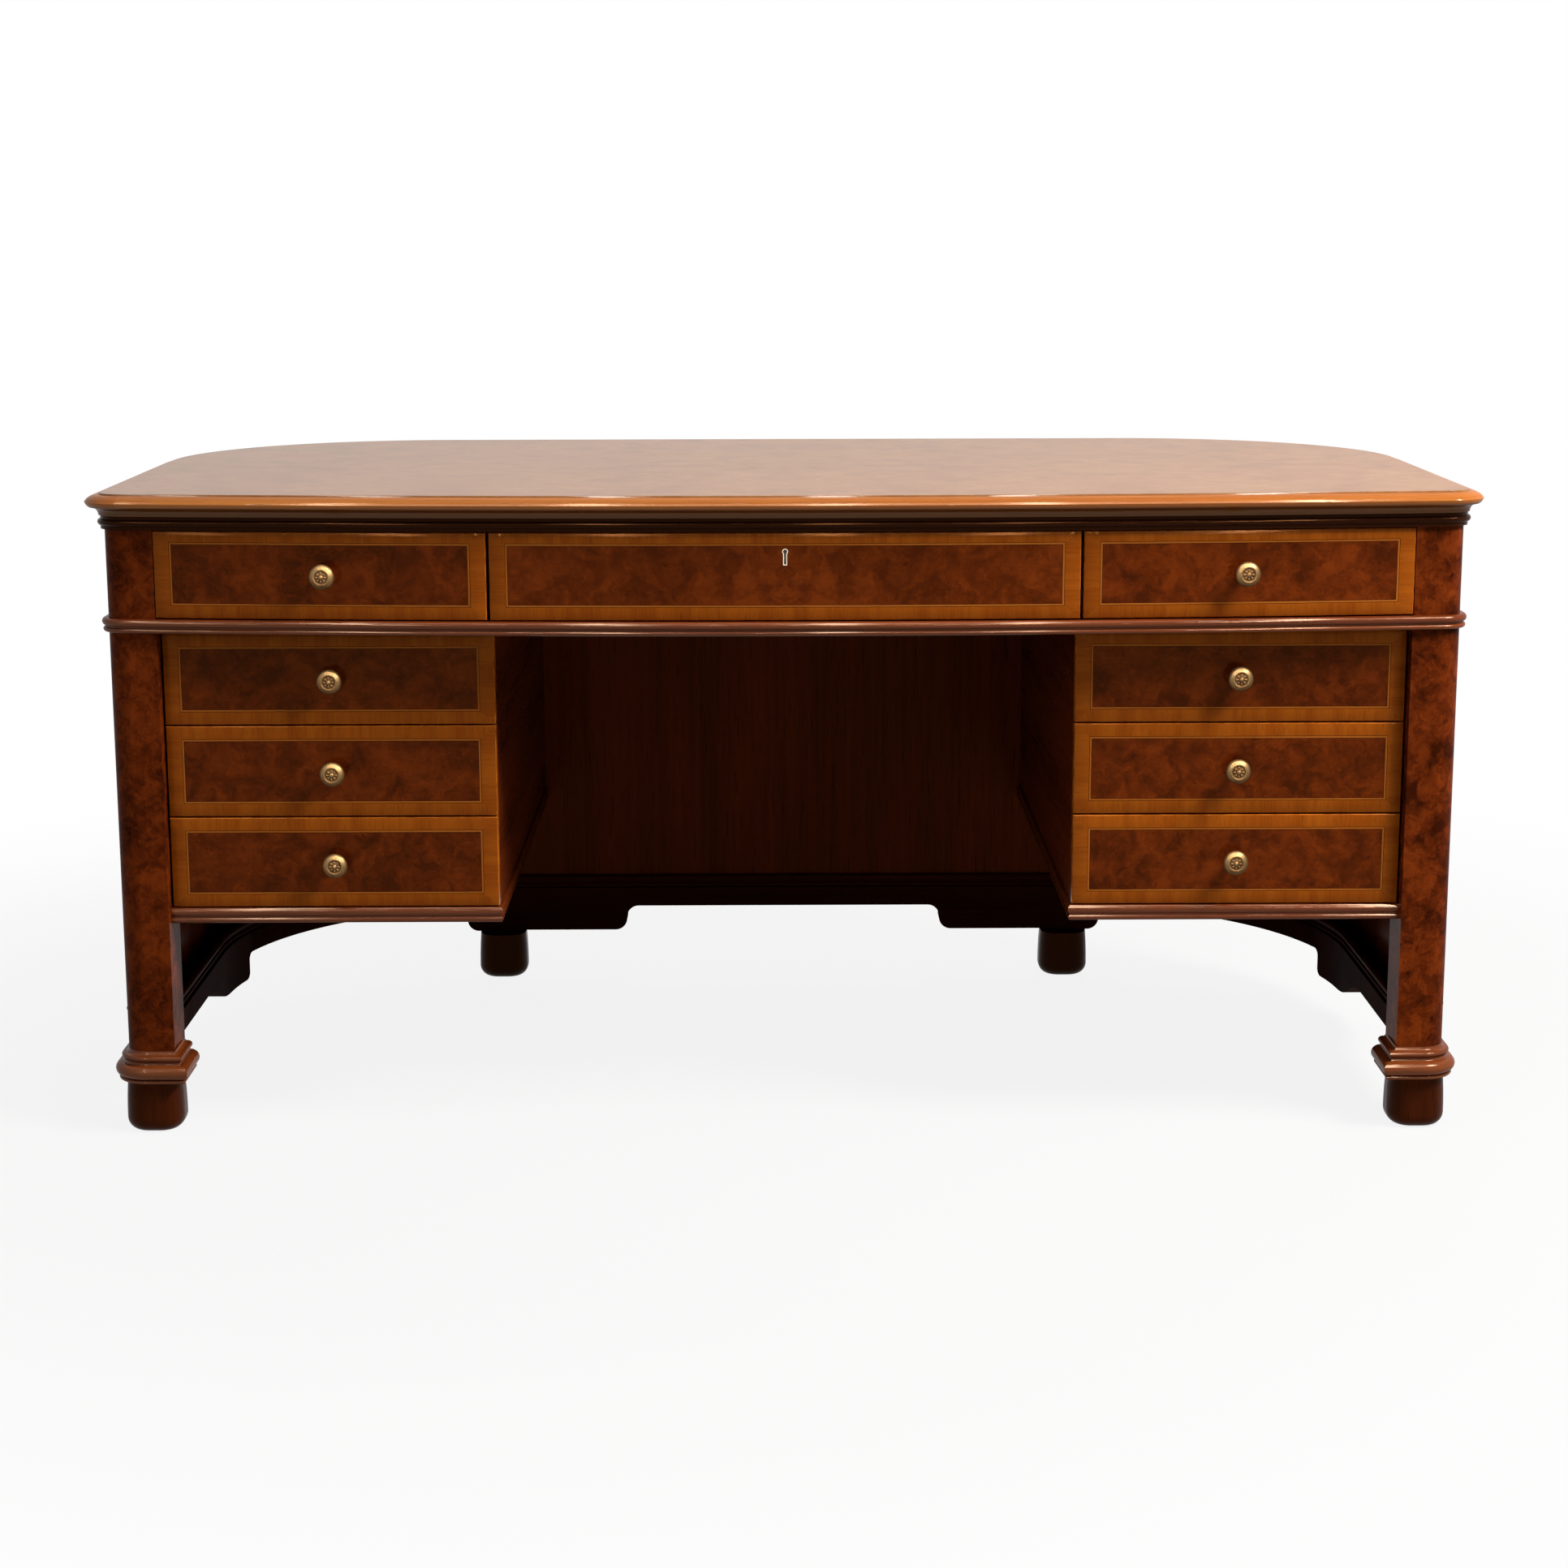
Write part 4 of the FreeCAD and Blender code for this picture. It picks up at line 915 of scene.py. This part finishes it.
def add_fronts(finishes):
    """Nine fronts, each with its own place in the burl, and the middle one with matched leaves"""
    shifts = iter([(0.31 * k, 0.47 * k) for k in range(1, 9)])
    for level, (z0, z1, _) in pedestal_levels.items():
        for side, sign in SIDES:
            add_front(f"veneered_front_{level}_{side}", f"drawer_{level}_{side}",
                      [f"drawer_front_{level}_{side}"], sorted(sign * x for x in pedestal_front_x),
                      (z0, z1), pedestal_bands, lambda x: pedestal_face_y, next(shifts), False, finishes, 6)
    frieze_z = (frieze_floor_top + front_gap, case_top - front_gap)
    for side, sign in SIDES:
        add_front(f"veneered_front_frieze_{side}", f"drawer_frieze_{side}", [f"frieze_front_{side}"],
                  sorted(sign * x for x in frieze_front_x), frieze_z, frieze_bands, bow_y, next(shifts),
                  False, finishes, 24)
    middle = add_front("veneered_front_frieze_middle", "drawer_frieze_middle", ["frieze_front_middle"],
                       (-middle_front_half, middle_front_half), frieze_z, frieze_bands, bow_y, (0.0, 0.0),
                       True, finishes, 40)
    pierced_by_keyhole(middle)


# Knobs

def ring_tree():
    """Geometry nodes that set petals or beads in a ring about Y"""
    tree, given, out = new_group("ring_of_petals", [
        ("Count", "Int", 8), ("Ring Radius", "Float", 0.004), ("Length", "Float", 0.003),
        ("Width", "Float", 0.0015), ("Rise", "Float", 0.001), ("Stand", "Float", 0.024),
        ("Finish", "Material", None),
    ], [("Geometry", "Geometry")], "GeometryNodeTree")
    ring = add(tree, "GeometryNodeMeshCircle", {"Vertices": given["Count"], "Radius": given["Ring Radius"]})
    petal = add(tree, "GeometryNodeMeshUVSphere", {"Segments": 12, "Rings": 8, "Radius": 1.0})
    size = joined(tree, X=given["Length"], Y=given["Width"], Z=given["Rise"])
    shaped = add(tree, "GeometryNodeTransform", {"Geometry": petal.outputs["Mesh"], "Scale": size})
    position = tree.nodes.new("GeometryNodeInputPosition").outputs[0]
    turn = add(tree, "FunctionNodeAlignRotationToVector", {"Vector": position}, axis="X")
    set_out = add(tree, "GeometryNodeInstanceOnPoints", {
        "Points": ring.outputs["Mesh"], "Instance": shaped.outputs[0], "Rotation": turn.outputs[0]})
    lift = joined(tree, Y=times(tree, given["Stand"], -1.0))
    tipped = add(tree, "GeometryNodeTransform", {
        "Geometry": set_out.outputs[0], "Translation": lift, "Rotation": (math.radians(90), 0, 0)})
    real = add(tree, "GeometryNodeRealizeInstances", {"Geometry": tipped.outputs[0]}).outputs[0]
    smooth = add(tree, "GeometryNodeSetShadeSmooth", {"Geometry": real}).outputs[0]
    finished = add(tree, "GeometryNodeSetMaterial", {"Geometry": smooth, "Material": given["Finish"]})
    put(tree, out["Geometry"], finished.outputs[0])
    return tree


knob_radius = 0.015
knob_segments = 40
knob_face = 0.0230  # the turning beyond this is the knob's face
sunk_ring = (0.0028, 0.0078)  # inner and outer radius


def knob_mesh(finish):
    """Turned knob with a beaded rim, a sunk ring and a rosette, standing out along -Y from the origin"""
    turning = outline_of((0.0, 0.0), [
        (0.0095, 0.0), (0.0095, 0.0012), ((0.0090, 0.0023), (0.0078, 0.0028)),
        ((0.0058, 0.0042), (0.0050, 0.0070)), (0.0050, 0.0150), ((0.0062, 0.0176), (0.0090, 0.0183)),
        ((0.0136, 0.0186), (0.0150, 0.0203)), ((0.0137, 0.0236), (0.0105, 0.0258)),
        ((0.0089, 0.0265), (0.0079, 0.0262)), ((0.0074, 0.0254), (0.0064, 0.0254)),
        (0.0030, 0.0258), (0.0026, 0.0268), ((0.0014, 0.0277), (0.0, 0.0280)),
    ], 5)[:-1]
    work = bmesh.new()
    tarnish_and_shade = work.verts.layers.float.new("tarnish_and_shade")
    turns = [2 * math.pi * k / knob_segments for k in range(knob_segments)]
    rings = []
    for radius, out in turning:
        sunk = 0.0
        if radius < sunk_ring[1] and out > knob_face:
            sunk = 0.9 if radius > sunk_ring[0] else 0.35
        if radius < 1e-6:
            ring = [work.verts.new((0, -out, 0))]
        else:
            ring = [work.verts.new((radius * math.cos(a), -out, radius * math.sin(a))) for a in turns]
        for vert in ring:
            # Painted shade: the knob's lower side is darkened, the more the lower the vertex stands,
            # besides the tarnished sunk ring
            painted_underside_shade = min(1.0, max(0.0, 0.25 - vert.co.z / knob_radius))
            vert[tarnish_and_shade] = max(sunk, 0.75 * painted_underside_shade)
        rings.append(ring)
    for low, high in zip(rings, rings[1:]):
        for k in range(knob_segments):
            j = (k + 1) % knob_segments
            if len(low) == 1:
                work.faces.new((low[0], high[k], high[j]))
            elif len(high) == 1:
                work.faces.new((low[k], high[0], low[j]))
            else:
                work.faces.new((low[k], high[k], high[j], low[j]))
    bmesh.ops.recalc_face_normals(work, faces=work.faces)
    body = mesh_of(work, "knob_body", finish)
    petals = grown(trees["ring"], {"Count": 8, "Ring Radius": 0.0050, "Length": 0.0021, "Width": 0.0011,
                                   "Rise": 0.0008, "Stand": 0.0257, "Finish": finish})
    beads = grown(trees["ring"], {"Count": 36, "Ring Radius": 0.0092, "Length": 0.0006, "Width": 0.0006,
                                  "Rise": 0.0004, "Stand": 0.0262, "Finish": finish})
    for part in (petals, beads):
        tarnished = part.attributes.new("tarnish_and_shade", "FLOAT", "POINT")
        tarnished.data.foreach_set("value", [0.5] * len(part.vertices))
    whole = bmesh.new()
    for part in (body, petals, beads):
        whole.from_mesh(part)
    return mesh_of(whole, "knob", finish)


def add_knobs(finish):
    """Eight copies of one knob, those on the frieze turned to stand out from the bow"""
    pattern = knob_mesh(finish)
    spots = []
    for side, sign in SIDES:
        for level, (_, _, z) in pedestal_levels.items():
            spots.append((f"{level}_{side}", f"drawer_{level}_{side}", f"knob_{level}_{side}",
                          Vector((sign * pedestal_knob_x, pedestal_face_y, z)), 0.0))
        x = sign * frieze_knob_x
        turn = math.asin(x / (bow_radius - case_inset))
        spots.append((f"frieze_{side}", f"drawer_frieze_{side}", f"frieze_knob_{side}",
                      Vector((x, bow_y(x), frieze_knob_z)), turn))
    for label, body, node, place, turn in spots:
        mesh = pattern.copy()
        mesh.transform(Matrix.Translation(place) @ Matrix.Rotation(turn, 4, "Z"))
        for face in mesh.polygons:
            face.use_smooth = True
        made = new_object("brass_knob_" + label, mesh)
        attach(made, body)
        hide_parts(node)


# Finishes of the CAD's own nodes

def finish_nodes(finishes):
    rules = (
        (("post_",), "post"),
        (("end_panel", "rear_corner", "back_panel"), "case"),
        (("plinth", "frieze_floor"), "case_level"),
        (("pedestal_bottom", "pedestal_inner_side"), "case_deep"),
        (("front_feet", "rear_feet"), "feet"),
        (("foot_collars",), "collars"),
        (("base_mouldings", "pedestal_base_moulding", "frieze_moulding", "sub_top_bead", "top_lipping"),
         "base"),
        (("drawer_box", "frieze_box"), "inner_deep"),
        (("drawer_front", "frieze_front", "top_panel"), "case_level"),
        (("frieze_dividers", "frieze_back", "pedestal_runners", "pedestal_backs", "pedestal_outer",
          "sub_top"), "inner_level"),
        (("knob", "frieze_knob"), "brass"),
        (("keyhole_lining",), "lining"),
        (("lock_",), "steel"),
    )
    for name, node in nodes.items():
        key = next(key for starts, key in rules if name.startswith(starts))
        for slot in node.material_slots:
            slot.material = finishes[key]


def collar_profile():
    """Bead, cushion and small bead that step in from the foot to the post"""
    return outline_of((-0.006, 0.065), [
        (0.0110, 0.065),
        ((0.0130, 0.06725), (0.0110, 0.0695)),
        (0.0090, 0.0695),
        ((0.0170, 0.0780), (0.0090, 0.0865)),
        ((0.0065, 0.0879), (0.0065, 0.0915)),
        ((0.0090, 0.09475), (0.0065, 0.0980)),
        ((0.0018, 0.0994), (0.0, 0.1030)),
        (-0.006, 0.1030),
    ], 8)


def collar_plan(sign):
    """Round the post: mitres at the inner front and outer rear, turned corners at the other two"""
    inner, outer, near, far = post_inner_x, case_half, post_front_y, post_back_y
    r = front_corner - case_inset
    plan = [(Vector((inner, near, 0)), Vector((-1, -1, 0)))]
    plan += plan_arc(outer - r, near + r, r, -90, 90, 14)
    plan += [(Vector((outer, far, 0)), Vector((1, 1, 0)))]
    plan += plan_arc(inner, far, 0.0, 90, 90, 10)
    flip = Matrix.Scale(sign, 4, (1, 0, 0))
    return [(flip @ place, flip @ way) for place, way in plan]


def add_mouldings(finishes):
    case_plan = desk_plan(case_inset)
    moulding("top_lipping_run", [desk_plan(0.0)], True, lip_profile(), finishes["lipping"], ["top_lipping"])
    moulding("bead_under_lipping", [case_plan], True, sub_bead_profile(), finishes["shade_bead"],
             ["sub_top_bead"])
    moulding("frieze_bead_pair", [case_plan], True, bead_pair(frieze_floor_bottom, frieze_floor_top, 0.008),
             finishes["beads"], ["frieze_moulding"])
    moulding("post_collars", [collar_plan(-1), collar_plan(1)], True, collar_profile(), finishes["collars"],
             ["foot_collars"])
    for side, sign in SIDES:
        inner_x = sign * kneehole_half
        straight = [
            (Vector((sign * post_inner_x, pedestal_face_y, 0)), Vector((0, -1, 0))),
            (Vector((inner_x, pedestal_face_y, 0)), Vector((-sign, -1, 0))),
            (Vector((inner_x, back_inner_y, 0)), Vector((-sign, 0, 0))),
        ]
        moulding(f"pedestal_bead_pair_{side}", [straight], False, bead_pair(*pedestal_bead_z, 0.005),
                 finishes["beads"], [f"pedestal_base_moulding_{side}"])


def add_floor():
    """Pale floor that keeps the desk's shadow and fades into the backdrop"""
    mesh = bpy.data.meshes.new("floor")
    mesh.from_pydata([(-30, -30, 0), (30, -30, 0), (30, 30, 0), (-30, 30, 0)], [], [(0, 1, 2, 3)])
    floor = new_object("floor", mesh)
    material, tree, shader = new_material("floor_paper")
    feed(tree, shader, {"Base Color": (0.38, 0.38, 0.38, 1), "Roughness": 0.9, "Specular IOR Level": 0.1})
    spot = add(tree, "ShaderNodeTexCoord").outputs["Object"]
    away = add(tree, "ShaderNodeVectorMath", {0: spot}, operation="LENGTH").outputs["Value"]
    share = times(tree, backdrop_seen(tree), between(tree, away, 0.9, 2.2, 0.87, 1.0))
    glow = add(tree, "ShaderNodeEmission", {"Color": (1, 1, 1, 1), "Strength": 1.0})
    both = add(tree, "ShaderNodeMixShader", {0: share, 1: shader.outputs[0], 2: glow.outputs[0]})
    put(tree, surface_of(tree), both.outputs[0])
    mesh.materials.append(material)


add_camera()
light_studio()
add_floor()
trees["moulding"] = moulding_tree()
trees["ring"] = ring_tree()
finishes = make_finishes()
finish_nodes(finishes)
add_top(finishes["top"])
add_mouldings(finishes)
add_fronts(finishes)
add_knobs(finishes["brass"])
